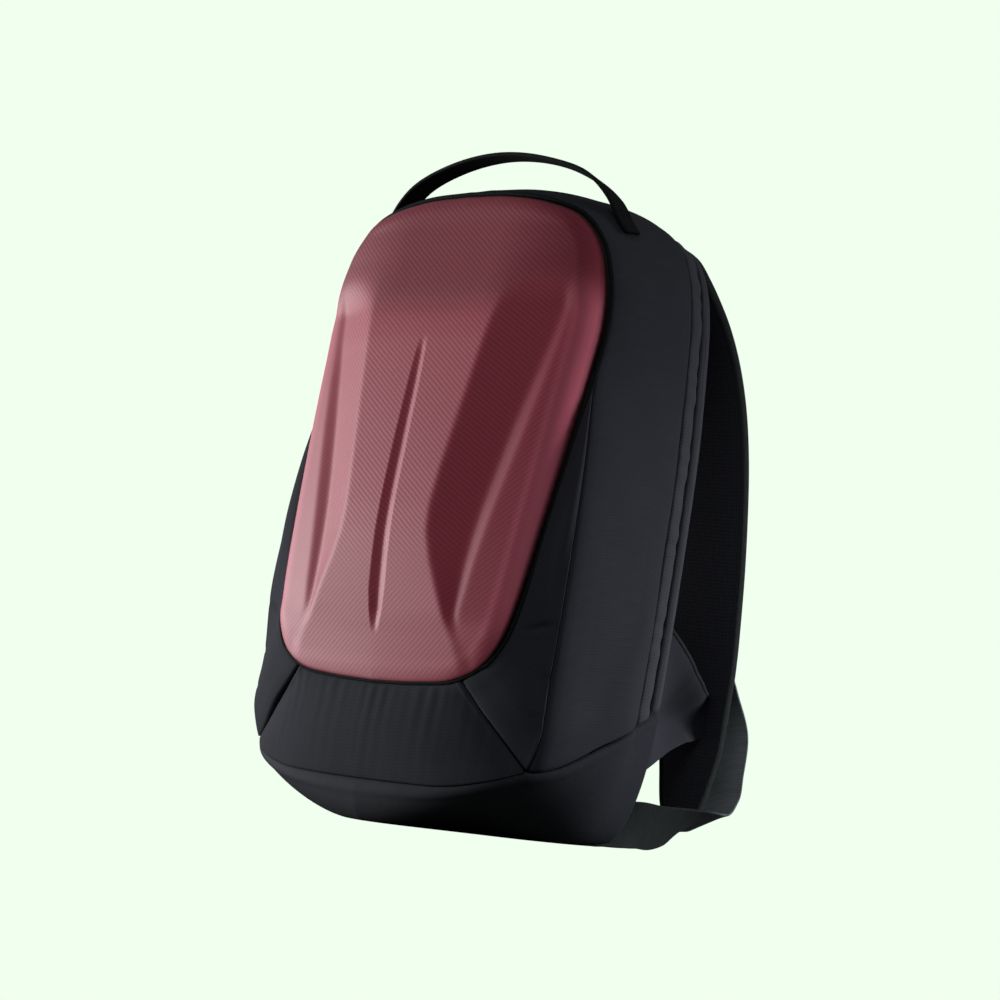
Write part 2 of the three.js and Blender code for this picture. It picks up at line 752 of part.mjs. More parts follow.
function mirrored(geometry) {
  const copy = geometry.clone().scale(-1, 1, 1);
  const corners = Array.from(copy.getIndex().array);
  const turned = corners.map((_, k) => corners[k - (k % 3) + (3 - (k % 3)) % 3]);
  copy.setIndex(turned);
  copy.computeVertexNormals();
  return copy;
}

const FINISHES = {
  maroon_shell: { color: 0x7d3f4b, roughness: 0.6, metalness: 0 },
  black_cloth: { color: 0x232428, roughness: 0.72, metalness: 0 },
  black_base: { color: 0x17181b, roughness: 0.7, metalness: 0 },
  black_webbing: { color: 0x1f2122, roughness: 0.65, metalness: 0 },
  black_pad: { color: 0x15161a, roughness: 0.85, metalness: 0 },
  black_zip: { color: 0x0b0b0d, roughness: 0.5, metalness: 0 },
};

const pack = new THREE.Group();

function piece(name, geometry, finish) {
  const mesh = new THREE.Mesh(geometry, new THREE.MeshStandardMaterial(FINISHES[finish]));
  mesh.name = name;
  pack.add(mesh);
}

function pairOf(name, geometry, finish) {
  piece(`${name}_right`, geometry, finish);
  piece(`${name}_left`, mirrored(geometry), finish);
}

piece('front_shell', frontShell(), 'maroon_shell');
piece('lower_front_panel', lowerFrontPanel(), 'black_cloth');
pairOf('front_wedge', wedgePanel(), 'black_cloth');
piece('side_panel', sidePanel(), 'black_cloth');
piece('zip_flap', archBand(ZIP_FRONT, SLIT_FRONT), 'black_cloth');
piece('zip_chain', zipChain(), 'black_zip');
piece('zip_slider', zipSlider(), 'black_zip');
piece('rear_gusset', archBand(SLIT_REAR, BACK_EDGE), 'black_cloth');
piece('back_panel', backPanel(), 'black_pad');
piece('base_panel', basePanel(), 'black_base');
piece('grab_handle', grabHandle(), 'black_webbing');
pairOf('shoulder_strap', shoulderStrap(), 'black_pad');
pairOf('strap_webbing', strapWebbing(), 'black_webbing');
pairOf('strap_wing', strapWing(), 'black_cloth');

export default pack;
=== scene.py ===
# %% [markdown]
# A daypack with a moulded front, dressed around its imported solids.
# The solids give the sizes, the mass and the collision. This script gives every piece the surface that
# the real one has: a moulded shell faced in twill, sewn cloth panels, foam pads, webbing and a coil zip.
# Seams are written in millimetres, upright, as half width, depth and height. One function then leans
# them back and turns them into metres, so that each piece lies where its solid lies.

# %% The frame and its box
import math

import bmesh
import bpy
import numpy as np
from mathutils import Matrix, Vector
from mathutils.kdtree import KDTree


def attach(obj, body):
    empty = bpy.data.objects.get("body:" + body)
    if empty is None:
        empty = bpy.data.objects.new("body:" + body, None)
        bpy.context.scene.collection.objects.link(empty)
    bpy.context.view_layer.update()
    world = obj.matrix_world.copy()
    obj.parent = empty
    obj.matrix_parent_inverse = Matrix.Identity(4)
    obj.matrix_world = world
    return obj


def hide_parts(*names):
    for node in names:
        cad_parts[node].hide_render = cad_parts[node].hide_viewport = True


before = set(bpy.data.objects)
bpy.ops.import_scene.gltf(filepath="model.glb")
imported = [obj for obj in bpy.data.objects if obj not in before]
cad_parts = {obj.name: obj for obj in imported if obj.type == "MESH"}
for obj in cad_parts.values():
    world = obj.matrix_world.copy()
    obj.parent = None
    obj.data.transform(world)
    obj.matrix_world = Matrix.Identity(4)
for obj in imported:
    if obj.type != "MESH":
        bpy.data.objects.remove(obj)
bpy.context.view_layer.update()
MM = 0.001

# %% [markdown]
# The camera comes first, because everything is judged through it.
# It stands low and to the right of the front, a little above the floor, and is rolled by a few degrees,
# as the camera of the photograph was. A long lens keeps the sides of the pack nearly parallel.

# %% Camera at the photograph's angle
AZIMUTH = math.radians(40)
ELEVATION = math.radians(-6.009)
ROLL = math.radians(-7)
CAMERA_AT = Vector((1.0308, -1.1940, 0.0606))
FOCAL_SHARE = 2.3  # focal length over the image's width
SENSOR_MM = 36


def camera_axes():
    """Right, up and backward directions of the rolled camera."""
    back = Vector((
        math.sin(AZIMUTH) * math.cos(ELEVATION),
        -math.cos(AZIMUTH) * math.cos(ELEVATION),
        math.sin(ELEVATION),
    ))
    level = Vector((math.cos(AZIMUTH), math.sin(AZIMUTH), 0))
    upright = back.cross(level)
    right = math.cos(ROLL) * level - math.sin(ROLL) * upright
    up = math.sin(ROLL) * level + math.cos(ROLL) * upright
    return right, up, back


camera = bpy.data.objects.new("photo_camera", bpy.data.cameras.new("photo_camera"))
camera.data.sensor_width = SENSOR_MM
camera.data.lens = SENSOR_MM * FOCAL_SHARE
camera.matrix_world = Matrix.Translation(CAMERA_AT) @ Matrix(camera_axes()).transposed().to_4x4()
bpy.context.scene.collection.objects.link(camera)
bpy.context.scene.camera = camera
print("camera lens in mm:", round(camera.data.lens, 1))

# %% [markdown]
# A sewn bag is easiest to think of as its seams, with cloth stretched between them.
# Each seam is a short table of points, and a smooth line runs through them. It could be a Blender curve,
# but the panels need to ask it for points by the share of its length, so it is kept as an array.

# %% Seams of the pack
LEAN = math.tan(math.radians(5.9))
FLOOR = -3.5  # height of the floor from the datum of the tables
ZIP_FRONT, SLIT_FRONT, SLIT_REAR, BACK_EDGE = 36, 51, 55, 68  # depths of the arches round the back
CORNER_HEIGHT, CORNER_DEPTH = 40, -54.5  # where the base, the side and the front meet


def table(columns, *rows):
    """One array for each named column."""
    return dict(zip(columns.split(), np.array(rows, float).T))


SHELL_EDGE = table(
    "half height depth",
    (0, 88, -82), (38, 89.5, -81), (68, 93.5, -79.5), (87, 104, -78.2), (98.5, 121, -76.6),
    (103.6, 145, -73.8), (109.3, 200, -69), (114.4, 260, -63.3), (117.4, 305, -58.8),
    (119, 335, -57.2), (116.5, 365, -58.8), (109, 391, -63.8), (94, 409, -70), (70, 418.5, -75.5),
    (38, 424, -79.5), (0, 425.5, -80.6),
)
CORNER_SEAM = table(
    "half height depth",
    (121, CORNER_HEIGHT, CORNER_DEPTH), (129.2, 62, -57.2), (128.7, 95, -57.7), (131.4, 150, -62.3),
    (125.7, 231, -59.8), (118.2, 290, -57.6),
)
FRONT_SEAM = table(
    "half height depth",
    (121, CORNER_HEIGHT, CORNER_DEPTH), (105, 32.5, -66), (74, 25, -75), (38, 23, -79), (0, 22.5, -80),
)
ARCH = table(
    "half height depth",
    (131.5, 72, ZIP_FRONT), (132, 105, ZIP_FRONT), (131.5, 150, ZIP_FRONT), (130, 210, ZIP_FRONT),
    (127.5, 270, ZIP_FRONT), (123, 320, ZIP_FRONT), (117.4, 365, ZIP_FRONT), (110.6, 391.4, ZIP_FRONT),
    (100, 410.8, ZIP_FRONT), (84.5, 422, ZIP_FRONT), (60.3, 431.5, ZIP_FRONT), (30.3, 438, ZIP_FRONT),
    (0, 440, ZIP_FRONT),
)
ARCH_INSET = table("depth inset", (ZIP_FRONT, 0), (SLIT_FRONT, 1.6), (SLIT_REAR, 2.2), (BACK_EDGE, 6))
SIDE_CROWN = table(
    "height crown", (40, 10), (180, 8.5), (290, 5), (340, 6), (375, 9.5), (402, 7), (418, 8), (432, 10),
)
WEDGE_CROWN = table(
    "height crown",
    (40, 0), (70, 4), (110, 0.5), (150, 1.5), (200, 6), (240, 6), (290, 2), (306, 0),
)
FOOT = table(
    "along half depth fullness",
    (0, 94, 65, 2.3), (0.12, 93, 36, 2.2), (0.3, 81, 5, 1.75), (0.42, 60, -16, 1.35),
    (0.5, 46, -31, 1.25), (0.6, 35, -44, 1.3), (0.72, 25, -55, 1.5), (0.86, 14, -63, 1.65),
    (1, 0, -66, 1.7),
)
print("rows of the shell's edge:", len(SHELL_EDGE["half"]), "of the zip's arch:", len(ARCH["half"]))

# %% Reading a table
EASE_STEPS = 400


def column(rows, key, name, at):
    """Value of one column where another has the value at."""
    return np.interp(at, rows[key], rows[name])


def gauss(width):
    """A short bell of weights, width being its spread in steps."""
    reach = np.arange(-math.ceil(3 * width), math.ceil(3 * width) + 1)
    bell = np.exp(-0.5 * (reach / width) ** 2)
    return bell / bell.sum()


def smoothed(values, width):
    """A row of values, each averaged with its neighbours. Its two ends keep their values."""
    bell = gauss(width)
    beyond = np.pad(values, len(bell) // 2, mode="reflect", reflect_type="odd")
    return np.convolve(beyond, bell, "valid")


def eased(rows, key, name, at, soft=0.04):
    """As column, with the kinks at the rows smoothed over a share of the whole run."""
    keys = np.linspace(rows[key][0], rows[key][-1], EASE_STEPS)
    return np.interp(at, keys, smoothed(column(rows, key, name, keys), soft * EASE_STEPS))


crowns = eased(SIDE_CROWN, "height", "crown", SIDE_CROWN["height"])
print("swell of the sides in mm:", crowns.round(1).tolist())

# %% A seam as a smooth line
MEET_HEIGHT, DIAGONAL_HEIGHT = 306, 94.8


class Seam:
    """A smooth line through a table's rows, read by its share of length.

    It leaves and reaches each row in one direction, and doesn't overshoot where rows lie close together."""

    def __init__(self, rows):
        knots = np.column_stack([rows["half"], rows["depth"], rows["height"]])
        ends = [2 * knots[0] - knots[1], *knots, 2 * knots[-1] - knots[-2]]
        line = []
        steps = np.linspace(0, 1, 40, endpoint=False)[:, None]
        for before, start, end, after in zip(ends, ends[1:], ends[2:], ends[3:]):
            gaps = [max(math.sqrt(np.linalg.norm(b - a)), 1e-4)
                    for a, b in ((before, start), (start, end), (end, after))]
            leave = ((start - before) / gaps[0] - (end - before) / (gaps[0] + gaps[1])
                     + (end - start) / gaps[1]) * gaps[1]
            arrive = ((end - start) / gaps[1] - (after - start) / (gaps[1] + gaps[2])
                      + (after - end) / gaps[2]) * gaps[1]
            line.append(start + leave * steps
                        + (-3 * start + 3 * end - 2 * leave - arrive) * steps ** 2
                        + (2 * start - 2 * end + leave + arrive) * steps ** 3)
        self.points = np.vstack([*line, knots[-1]])
        lengths = np.linalg.norm(np.diff(self.points, axis=0), axis=1)
        self.length = lengths.sum()
        self.share = np.concatenate([[0], np.cumsum(lengths)]) / self.length
        self.knots = self.share[::len(steps)]

    def at(self, share):
        return np.stack([np.interp(share, self.share, axis) for axis in self.points.T], -1)

    def share_at_height(self, height):
        return np.interp(height, self.points[:, 2], self.share)

    def direction(self, share):
        step = 1e-3
        ahead = self.at(np.minimum(share + step, 1)) - self.at(np.maximum(share - step, 0))
        return ahead / np.linalg.norm(ahead, axis=-1, keepdims=True)


shell_edge = Seam(SHELL_EDGE)
corner_seam = Seam(CORNER_SEAM)
front_seam = Seam(FRONT_SEAM)
zip_arch = Seam(ARCH)
MEET = shell_edge.share_at_height(MEET_HEIGHT)  # where the front corner seam runs into the shell
DIAGONAL = shell_edge.share_at_height(DIAGONAL_HEIGHT)  # where the diagonal seam leaves the shell
print("shell edge in mm:", round(shell_edge.length), "zip arch in mm:", round(zip_arch.length))

# %% [markdown]
# Between the seams the cloth swells, because the pack is full.
# Each panel is a function of two shares, along and across, that gives a point of the swollen cloth.
# Walls are pushed in or out along one common field of directions, away from a core inside the pack,
# so that neighbours meet at their seams and never cross.

# %% Directions and blends
CORE_LOW = np.array([-88, -45, 62])
CORE_HIGH = np.array([88, 32, 345])


def unit(vectors):
    return vectors / np.maximum(np.linalg.norm(vectors, axis=-1, keepdims=True), 1e-9)


def outward(points):
    return unit(points - np.clip(points, CORE_LOW, CORE_HIGH))


def sideways(points):
    """Outward, but square to the seams that run round the pack."""
    return unit(outward(points) * np.array([1, 0, 1]))


def blend(start, end, share):
    share = np.asarray(share)[..., None]
    return start * (1 - share) + end * share


def both_sides(half):
    """The whole of a mirrored surface, from its right end over the middle to its left end."""
    def whole(along, across):
        points = half(1 - np.abs(2 * along - 1), across)
        points[..., 0] *= np.where(along <= 0.5, 1, -1)
        return points
    return whole


print("core of the pack in mm:", (CORE_HIGH - CORE_LOW).tolist())

# %% Arches, sides and strips
SEAM_CLIMB = 0.437  # how steeply the base's seam rises towards the back
MIDDLE_HEIGHT = 215  # an arch that is set in gets lower above this height


def arch_at(depth):
    """One arch round the back of the pack, from the base seam to the top middle."""
    inset = column(ARCH_INSET, "depth", "inset", depth)
    low = zip_arch.share_at_height(CORNER_HEIGHT + SEAM_CLIMB * (depth - CORNER_DEPTH))
    narrower = 1 - inset / ARCH["half"][1]
    lower = 1 - inset / (ARCH["height"][-1] - MIDDLE_HEIGHT)

    def at(along):
        points = zip_arch.at(low + (1 - low) * np.asarray(along))
        rise = points[..., 2] - MIDDLE_HEIGHT
        height = MIDDLE_HEIGHT + rise * np.where(rise > 0, lower, 1)
        return np.stack([points[..., 0] * narrower, np.full(rise.shape, depth), height], -1)
    return at


zip_front = arch_at(ZIP_FRONT)


def side_front(along):
    """Front edge of the side panel: the corner seam, then the shell's edge over the top."""
    over = shell_edge.length * (1 - MEET)
    at = along * (corner_seam.length + over)
    low = corner_seam.at(at / corner_seam.length)
    high = shell_edge.at(MEET + (1 - MEET) * (at - corner_seam.length) / over)
    return np.where((at < corner_seam.length)[..., None], low, high)


def side_surface(along, across):
    points = blend(side_front(along), zip_front(along), across)
    swell = eased(SIDE_CROWN, "height", "crown", points[..., 2]) * (1 - np.abs(2 * across - 1) ** 4)
    return points + sideways(points) * swell[..., None]


def band_surface(front, rear, crown):
    """A narrow strip round the back between two arches, with a small crown."""
    front_arch, rear_arch = arch_at(front), arch_at(rear)

    def half(along, across):
        points = blend(front_arch(along), rear_arch(along), across)
        return points + sideways(points) * (crown * np.sin(np.pi * across))[..., None]
    return both_sides(half)


print("widest swell in mm:", round(2 * side_surface(np.linspace(0, 1, 50), np.full(50, 0.5))[:, 0].max()))

# %% Lower front and wedges
FRONT_CROWN = 3
WEDGE_TIP = 0.995  # the wedge stops just short of the point where its two seams meet


def lower_front_surface(along, down):
    top = shell_edge.at(DIAGONAL * (1 - along))
    points = blend(top, front_seam.at(along), down)
    swell = FRONT_CROWN * np.sin(np.pi * down) * np.sin(np.pi * along / 2)
    return points + outward(points) * swell[..., None]


def wedge_surface(up, across):
    reach = WEDGE_TIP * up
    points = blend(shell_edge.at(DIAGONAL + (MEET - DIAGONAL) * reach), corner_seam.at(reach), across)
    swell = eased(WEDGE_CROWN, "height", "crown", points[..., 2]) * np.sin(np.pi * across)
    return points + outward(points) * swell[..., None]


top, bottom = lower_front_surface(np.ones(2), np.array([0, 1]))
print("cloth below the shell in mm:", round(np.linalg.norm(top - bottom)))


# %% Base
def base_seam(along):
    """From the back corner, along the side and across the front to the middle."""
    back, front = arch_at(BACK_EDGE)(0.0), zip_front(0.0)
    back_length = np.linalg.norm(back - front)
    side_length = np.linalg.norm(front - side_front(np.zeros(1))[0])
    at = along * (back_length + side_length + front_seam.length)
    side_share = np.clip((at - back_length) / side_length, 0, 1)
    points = blend(back, front, np.clip(at / back_length, 0, 1))
    on_side = side_surface(np.zeros_like(at), 1 - side_share)
    on_front = front_seam.at((at - back_length - side_length) / front_seam.length)
    points = np.where((at < back_length)[..., None], points, on_side)
    return np.where((at < back_length + side_length)[..., None], points, on_front)


FLOOR_FROM = 0.72  # share of the base's run at which its wall reaches the floor
RIM_STEPS, RIM_SOFT = 200, 9  # points along the base's seam, and the spread of their smoothing
RIM_FADE = 0.2  # share of the way down over which the wall takes up the smoothed seam
rim_shares = np.linspace(0, 1, RIM_STEPS)
soft_rim = [smoothed(axis, RIM_SOFT) for axis in base_seam(rim_shares).T]


def base_surface(along, down):
    """The base's wall down to the foot, then its flat underside to the middle of the back."""
    soft = np.stack([np.interp(along, rim_shares, axis) for axis in soft_rim], -1)
    rim = blend(base_seam(along), soft, np.clip(down / RIM_FADE, 0, 1))
    power = 2 / eased(FOOT, "along", "fullness", along, 0.05)
    angle = (1 - np.minimum(down / FLOOR_FROM, 1)) * np.pi / 2
    out = np.sin(angle) ** power
    up = 1 - np.maximum(np.cos(angle), 0) ** power
    foot = np.stack([eased(FOOT, "along", "half", along), eased(FOOT, "along", "depth", along)], -1)
    inward = np.maximum(0, (down - FLOOR_FROM) / (1 - FLOOR_FROM))
    under = blend(foot, np.array([0.0, FOOT["depth"][0]]), inward)
    flat = blend(under, rim[..., :2], out)
    return np.concatenate([flat, (FLOOR + (rim[..., 2] - FLOOR) * up)[..., None]], -1)


print("half the base's seam in mm:", round(np.linalg.norm(np.diff(soft_rim), axis=0).sum()))

# %% [markdown]
# A grid is the natural start for cloth: it has even threads both ways.
# bmesh makes the grid, and its two axes are the shares that the panel functions take. The lengths of the
# finished threads become the UV map, in metres, so that a weave keeps its real size on every panel.
# Near a seam the cloth dips and then puffs up, and that is what makes a seam show.

# %% Cloth beside a seam
# A seam kind says how the cloth lies beside it: a dip at the stitches and a puff further in.
# The last row of cloth at a seam is turned in, as the seam allowance is, so that no gap shows.
PLAIN = dict(dip=1.0, soft=1.7, puff=0.35, at=8, wide=5)
NARROW = dict(dip=0.8, soft=1.1, puff=0.35, at=2.8, wide=1.4)
ROLLED = dict(dip=1.0, soft=1.6, puff=0.7, at=6, wide=3.5)
FOLDED = dict(dip=1.4, soft=1.6, puff=0.5, at=4, wide=2)
FLUSH = dict(dip=0.3, soft=0.8, puff=0.0, at=3, wide=2)
TURNED_IN = 4
pieces = {}


def to_row(points):
    """Upright millimetres to the leaning row frame in metres."""
    leaning = points + np.array([0, 1, 0]) * LEAN * points[..., 2:3]
    return (leaning - np.array([0, 0, FLOOR])) * MM


def sewn(distance, dip, soft, puff, at, wide):
    """How far the cloth stands out at a distance from a seam."""
    return puff * np.exp(-((distance - at) / wide) ** 2) - dip * np.exp(-(distance / soft) ** 2)


print("a plain seam at 0, 4, 8 and 12 mm:", sewn(np.arange(0, 13, 4), **PLAIN).round(2).tolist())


# %% A grid and its threads
def grid_mesh(along, across):
    """A bmesh grid, with the two shares of each vertex in rows."""
    bm = bmesh.new()
    bmesh.ops.create_grid(bm, x_segments=along, y_segments=across, size=0.5)
    bm.verts.ensure_lookup_table()
    shares = np.array([v.co[:2] for v in bm.verts]) + 0.5
    order = np.lexsort((shares[:, 0].round(6), shares[:, 1].round(6)))
    lattice = shares[order].reshape(across + 1, along + 1, 2)
    return bm, order, lattice[..., 0], lattice[..., 1]


def run_lengths(points, axis):
    """Length of thread from the first edge to each point, along one axis of the lattice."""
    steps = np.linalg.norm(np.diff(points, axis=axis), axis=-1)
    start = np.zeros_like(np.take(steps, [0], axis))
    return np.concatenate([start, np.cumsum(steps, axis)], axis)


def finish_object(name, bm):
    mesh = bpy.data.meshes.new(name)
    bm.to_mesh(mesh)
    bm.free()
    mesh.polygons.foreach_set("use_smooth", [True] * len(mesh.polygons))
    made = bpy.data.objects.new(name, mesh)
    bpy.context.scene.collection.objects.link(made)
    pieces[name] = made
    return made


# %% A panel and its wall
def panel(name, surface, along, across, seams=None, shape=None, closed=False):
    """A panel of cloth on a surface. seams gives the kind of seam on its start, end, low or high edge."""
    bm, order, u, v = grid_mesh(along, across)
    points = surface(u, v)
    runs = run_lengths(points, 1), run_lengths(points, 0)
    from_edge = {
        "start": runs[0], "end": runs[0][:, -1:] - runs[0],
        "low": runs[1], "high": runs[1][-1:] - runs[1],
    }
    stand = np.zeros_like(u)
    for edge, kind in (seams or {}).items():
        stand += sewn(from_edge[edge], **kind)
    for edge in seams or {}:
        stand[from_edge[edge] < 1e-6] = -TURNED_IN
    points = points + outward(points) * stand[..., None]
    if shape:
        points = points + outward(points) * shape(points, u, v)[..., None]
    places, threads, outside = (np.empty((len(order), size)) for size in (3, 2, 3))
    places[order] = to_row(points).reshape(-1, 3)
    centred = [run - run.max(axis, keepdims=True) / 2 for run, axis in zip(runs, (1, 0))]
    threads[order] = np.stack(centred, -1).reshape(-1, 2) * MM
    outside[order] = outward(points).reshape(-1, 3)
    weave = bm.loops.layers.uv.new("weave")
    for vertex, place in zip(bm.verts, places):
        vertex.co = place
    for face in bm.faces:
        for loop in face.loops:
            loop[weave].uv = threads[loop.vert.index]
    bm.normal_update()
    facing = sum(face.normal.dot(Vector(outside[face.verts[0].index])) for face in bm.faces)
    if facing < 0:
        bmesh.ops.reverse_faces(bm, faces=bm.faces)
    bmesh.ops.remove_doubles(bm, verts=bm.verts, dist=1e-6)
    if closed:
        bmesh.ops.recalc_face_normals(bm, faces=bm.faces)
    return finish_object(name, bm)


def thicken(made, wall, offset=-1):
    """Gives a sheet its thickness, inwards unless the offset says otherwise."""
    solid = made.modifiers.new("wall", "SOLIDIFY")
    solid.thickness = wall * MM
    solid.offset = offset
    return made


# %% [markdown]
# The cloth panels of the body.
# They could be cut flat and draped, but a full pack is tight, so they are made at their finished shape.
# Only a few soft creases are drawn, where the photograph shows them.

# %% Creases and folds
CREASES = table(
    "x1 y1 z1 x2 y2 z2 deep wide",
    (106, -77, 128, 130, -59, 137, 2.2, 2.3),
    (121, -68, 100, 130, -57, 103, 0.9, 2.2),
    (122, -66, 76, 130, -57, 77, 0.7, 2.2),
)
# The side's fold runs from low to high, each a depth and a height. It starts above the base and fades above.
SIDE_FOLD = dict(low=(-5, 100), high=(27, 168), stand=2.6, wide=10, start=45, rise=40, full=190, fade=60)
HILL, RIPPLE = 0.30, 0.16
GATHER = dict(stand=0.28, pitch=1.7, drift=11, group=13, fade=2.5, start=12)
PUCKER = 0.40
PUCKERS = ((1, 2.9, 1.6, 9.7), (0.7, 5.3, 2, 17))  # share, pitch, wander and pitch of the wander


def creased(points, u, v):
    """Creases of the table, pressed into the cloth."""
    stand = np.zeros_like(u)
    for x1, y1, z1, x2, y2, z2, deep, wide in np.array(list(CREASES.values())).T:
        for mirror in (1, -1):
            start, end = np.array([mirror * x1, y1, z1]), np.array([mirror * x2, y2, z2])
            run = end - start
            share = np.clip(((points - start) @ run) / (run @ run), 0, 1)
            away = np.linalg.norm(points - (start + share[..., None] * run), axis=-1)
            stand -= deep * np.sin(np.pi * (share * 0.8 + 0.1)) * np.exp(-(away / wide) ** 2)
    return stand


def uneven(points, u, v):
    """Slow hills and hollows, as cloth over a full bag has."""
    x, y, z = np.moveaxis(points, -1, 0)
    hills = HILL * np.sin(x / 19 + z / 31) * np.sin(z / 27 - y / 23)
    return hills + RIPPLE * np.sin(y / 9 + z / 14)


def side_folds(points, u, v):
    """One broad fold low on each side, where the load pushes the cloth out."""
    fold, height = SIDE_FOLD, points[..., 2]
    low, high = (np.array(fold[end], float) for end in ("low", "high"))
    run = unit(high - low)
    flat = points[..., 1:] - low
    below = flat[..., 0] * run[1] - flat[..., 1] * run[0]
    inside = np.clip(v * (1 - v) * 5, 0, 1) * np.clip((height - fold["start"]) / fold["rise"], 0, 1)
    fading = np.exp(-np.maximum(0, height - fold["full"]) / fold["fade"])
    return uneven(points, u, v) + fold["stand"] * np.tanh(below / fold["wide"]) * inside * fading


def gathered(points, u, v):
    """Small upright wrinkles that fade away below the shell's edge."""
    x = points[..., 0]
    fine = np.sin(x / GATHER["pitch"] + np.sin(x / GATHER["drift"])) * np.sin(x / GATHER["group"] + 1)
    fading = np.exp(-v * GATHER["fade"]) * np.clip(v * GATHER["start"], 0, 1)
    return 0.7 * uneven(points, u, v) + GATHER["stand"] * fine * fading


def puckered(points, u, v):
    """Puckers along a narrow band that is sewn along one edge."""
    run = u * 2 * zip_arch.length
    wave = 0
    for share, pitch, wander, slow in PUCKERS:
        wave = wave + share * np.sin(run / pitch + wander * np.sin(run / slow))
    return PUCKER * wave * np.sin(np.pi * np.clip(v, 0.05, 1) * 0.8)


print("depths of the creases in mm:", CREASES["deep"].tolist())

# %% Cloth panels
CLOTH = 2
BASE_CLOTH = 2.5
STRIP_CROWN = 1.2


def mirrored(surface):
    """The same surface on the other side of the pack."""
    def other(along, across):
        return surface(along, across) * np.array([-1, 1, 1])
    return other


SIDES = (("right", lambda surface: surface), ("left", mirrored))


def cloth(name, *details, wall=CLOTH):
    return thicken(panel(name, *details), wall)


cloth("side_cloth", both_sides(side_surface), 420, 90,
      dict(start=PLAIN, end=PLAIN, low=PLAIN, high=PLAIN), side_folds)
cloth("lower_front_cloth", both_sides(lower_front_surface), 240, 60,
      dict(start=NARROW, end=NARROW, low=PLAIN, high=PLAIN), gathered)
for side, turn in SIDES:
    cloth(f"wedge_cloth_{side}", turn(wedge_surface), 200, 50,
          dict(start=PLAIN, low=PLAIN, high=NARROW), creased)
cloth("zip_flap_cloth", band_surface(ZIP_FRONT, SLIT_FRONT, STRIP_CROWN), 900, 12,
      dict(start=FLUSH, end=FLUSH, low=PLAIN, high=FOLDED), puckered)
cloth("rear_gusset_cloth", band_surface(SLIT_REAR, BACK_EDGE, STRIP_CROWN), 420, 14,
      dict(start=FLUSH, end=FLUSH, low=FOLDED, high=PLAIN))
cloth("base_cloth", both_sides(base_surface), 260, 60, dict(low=ROLLED), wall=BASE_CLOTH)
print("panels:", sorted(pieces))

# %% [markdown]
# The front is a moulded shell: foam pressed in a hot mould with twill bonded over it.
# Its relief could be sculpted, but a mould is drawn by its lines, so it is drawn by them here too: the
# plateau's ridge, the valley of the side groove, its lip and the rim, at each height. A rounded cap cuts
# the top of the plateau off, as the mould's second face does. The relief is then blurred by a few
# millimetres, because foam rounds every edge of the mould.

# %% Lines of the mould
SHELL_LINES = table(
    "height middle_d ridge ridge_d valley valley_d lip lip_d rim_d groove groove_d",
    (88, -84, 74, -81.5, 80, -81, 84, -80.8, -84, 5, 0),
    (104, -86.5, 72, -84, 76, -83, 80, -82, -82, 5, 0),
    (120, -89.7, 66, -88.2, 70, -87.2, 76, -86.4, -83.2, 1.8, 0),
    (128, -91.8, 62, -90.4, 66, -88.4, 71, -88.0, -83.8, 3.4, 1.2),
    (136, -93.5, 58.5, -92.9, 63.3, -88.6, 68.5, -89.6, -82.6, 4.8, 2.4),
    (150, -96.3, 52.7, -95.7, 63.5, -88.2, 70.5, -89.8, -82.2, 6, 2.6),
    (170, -99.3, 44, -98.7, 64.7, -87.7, 73, -89.5, -81.6, 5.8, 2.6),
    (188, -101.4, 38.4, -100.9, 66.3, -87, 76, -88.9, -80.8, 5.6, 2.5),
    (205, -102.2, 37.6, -101.8, 68.4, -86.2, 79, -88.1, -80, 5.4, 2.5),
    (230, -102, 40, -101.6, 73, -84.6, 84, -86.4, -78.6, 5.2, 2.4),
    (260, -101.2, 44.2, -100.5, 79, -82.9, 90, -84.4, -76.8, 4.8, 2.2),
    (290, -100.1, 48.5, -99.4, 86, -80.8, 95.5, -81.8, -75, 4.2, 1.8),
    (312, -99.3, 51.4, -98.6, 91.2, -79, 99, -79.5, -73.6, 3.2, 1.0),
    (322, -98.9, 52.8, -98.3, 93.8, -78.3, 100.8, -78.6, -73, 2.4, 0),
    (344, -97.4, 56, -96.6, 98, -76.7, 103.5, -76.9, -72.5, 2.4, 0),
    (370, -96.5, 58, -95.7, 101, -83.5, 105.5, -82, -77, 2.4, 0),
    (430, -94.3, 60, -93.3, 106, -83, 110, -82, -78, 2.4, 0),
)
SHELL_CAP = table(
    "height middle_d rim_d",
    (88, -170, -100), (300, -110, -92), (344, -97, -78), (358, -94.3, -74.5), (380, -89.8, -74.5),
    (404, -85.7, -76.5), (420, -84, -80.5), (430, -83, -83),
)
print("heights of the mould's lines in mm:", SHELL_LINES["height"].astype(int).tolist())

# %% Relief of the mould
SHELL_LOW, SHELL_HIGH = 111, 402  # heights of the corners of the shell's outline
RELIEF_HEIGHTS = np.arange(78, 436)  # the relief's lattice, a little larger than the shell
RELIEF_HALVES = np.arange(-132, 133)
FACE_BLUR = 1.6, 2.4  # across and up
CAP_BLUR = 5, 7
CAP_FLAT, CAP_POWER = 40, 2.1  # the cap is flat for this far from the middle, then falls away
CAP_BEYOND = 1.1  # its fall goes on this far, as a share of the way to the edge
CAP_SOFT = 2.2  # how round the crease below the cap is
PLATEAU_POWER = 1.6  # the plateau is flat at its middle and curves towards its ridges


def blurred(field, across, up):
    """The field, averaged by a bell across and then up."""
    for axis, width in ((1, across), (0, up)):
        bell = gauss(width)
        pad = [(0, 0), (0, 0)]
        pad[axis] = (len(bell) // 2,) * 2
        field = np.apply_along_axis(np.convolve, axis, np.pad(field, pad, mode="edge"), bell, "valid")
    return field


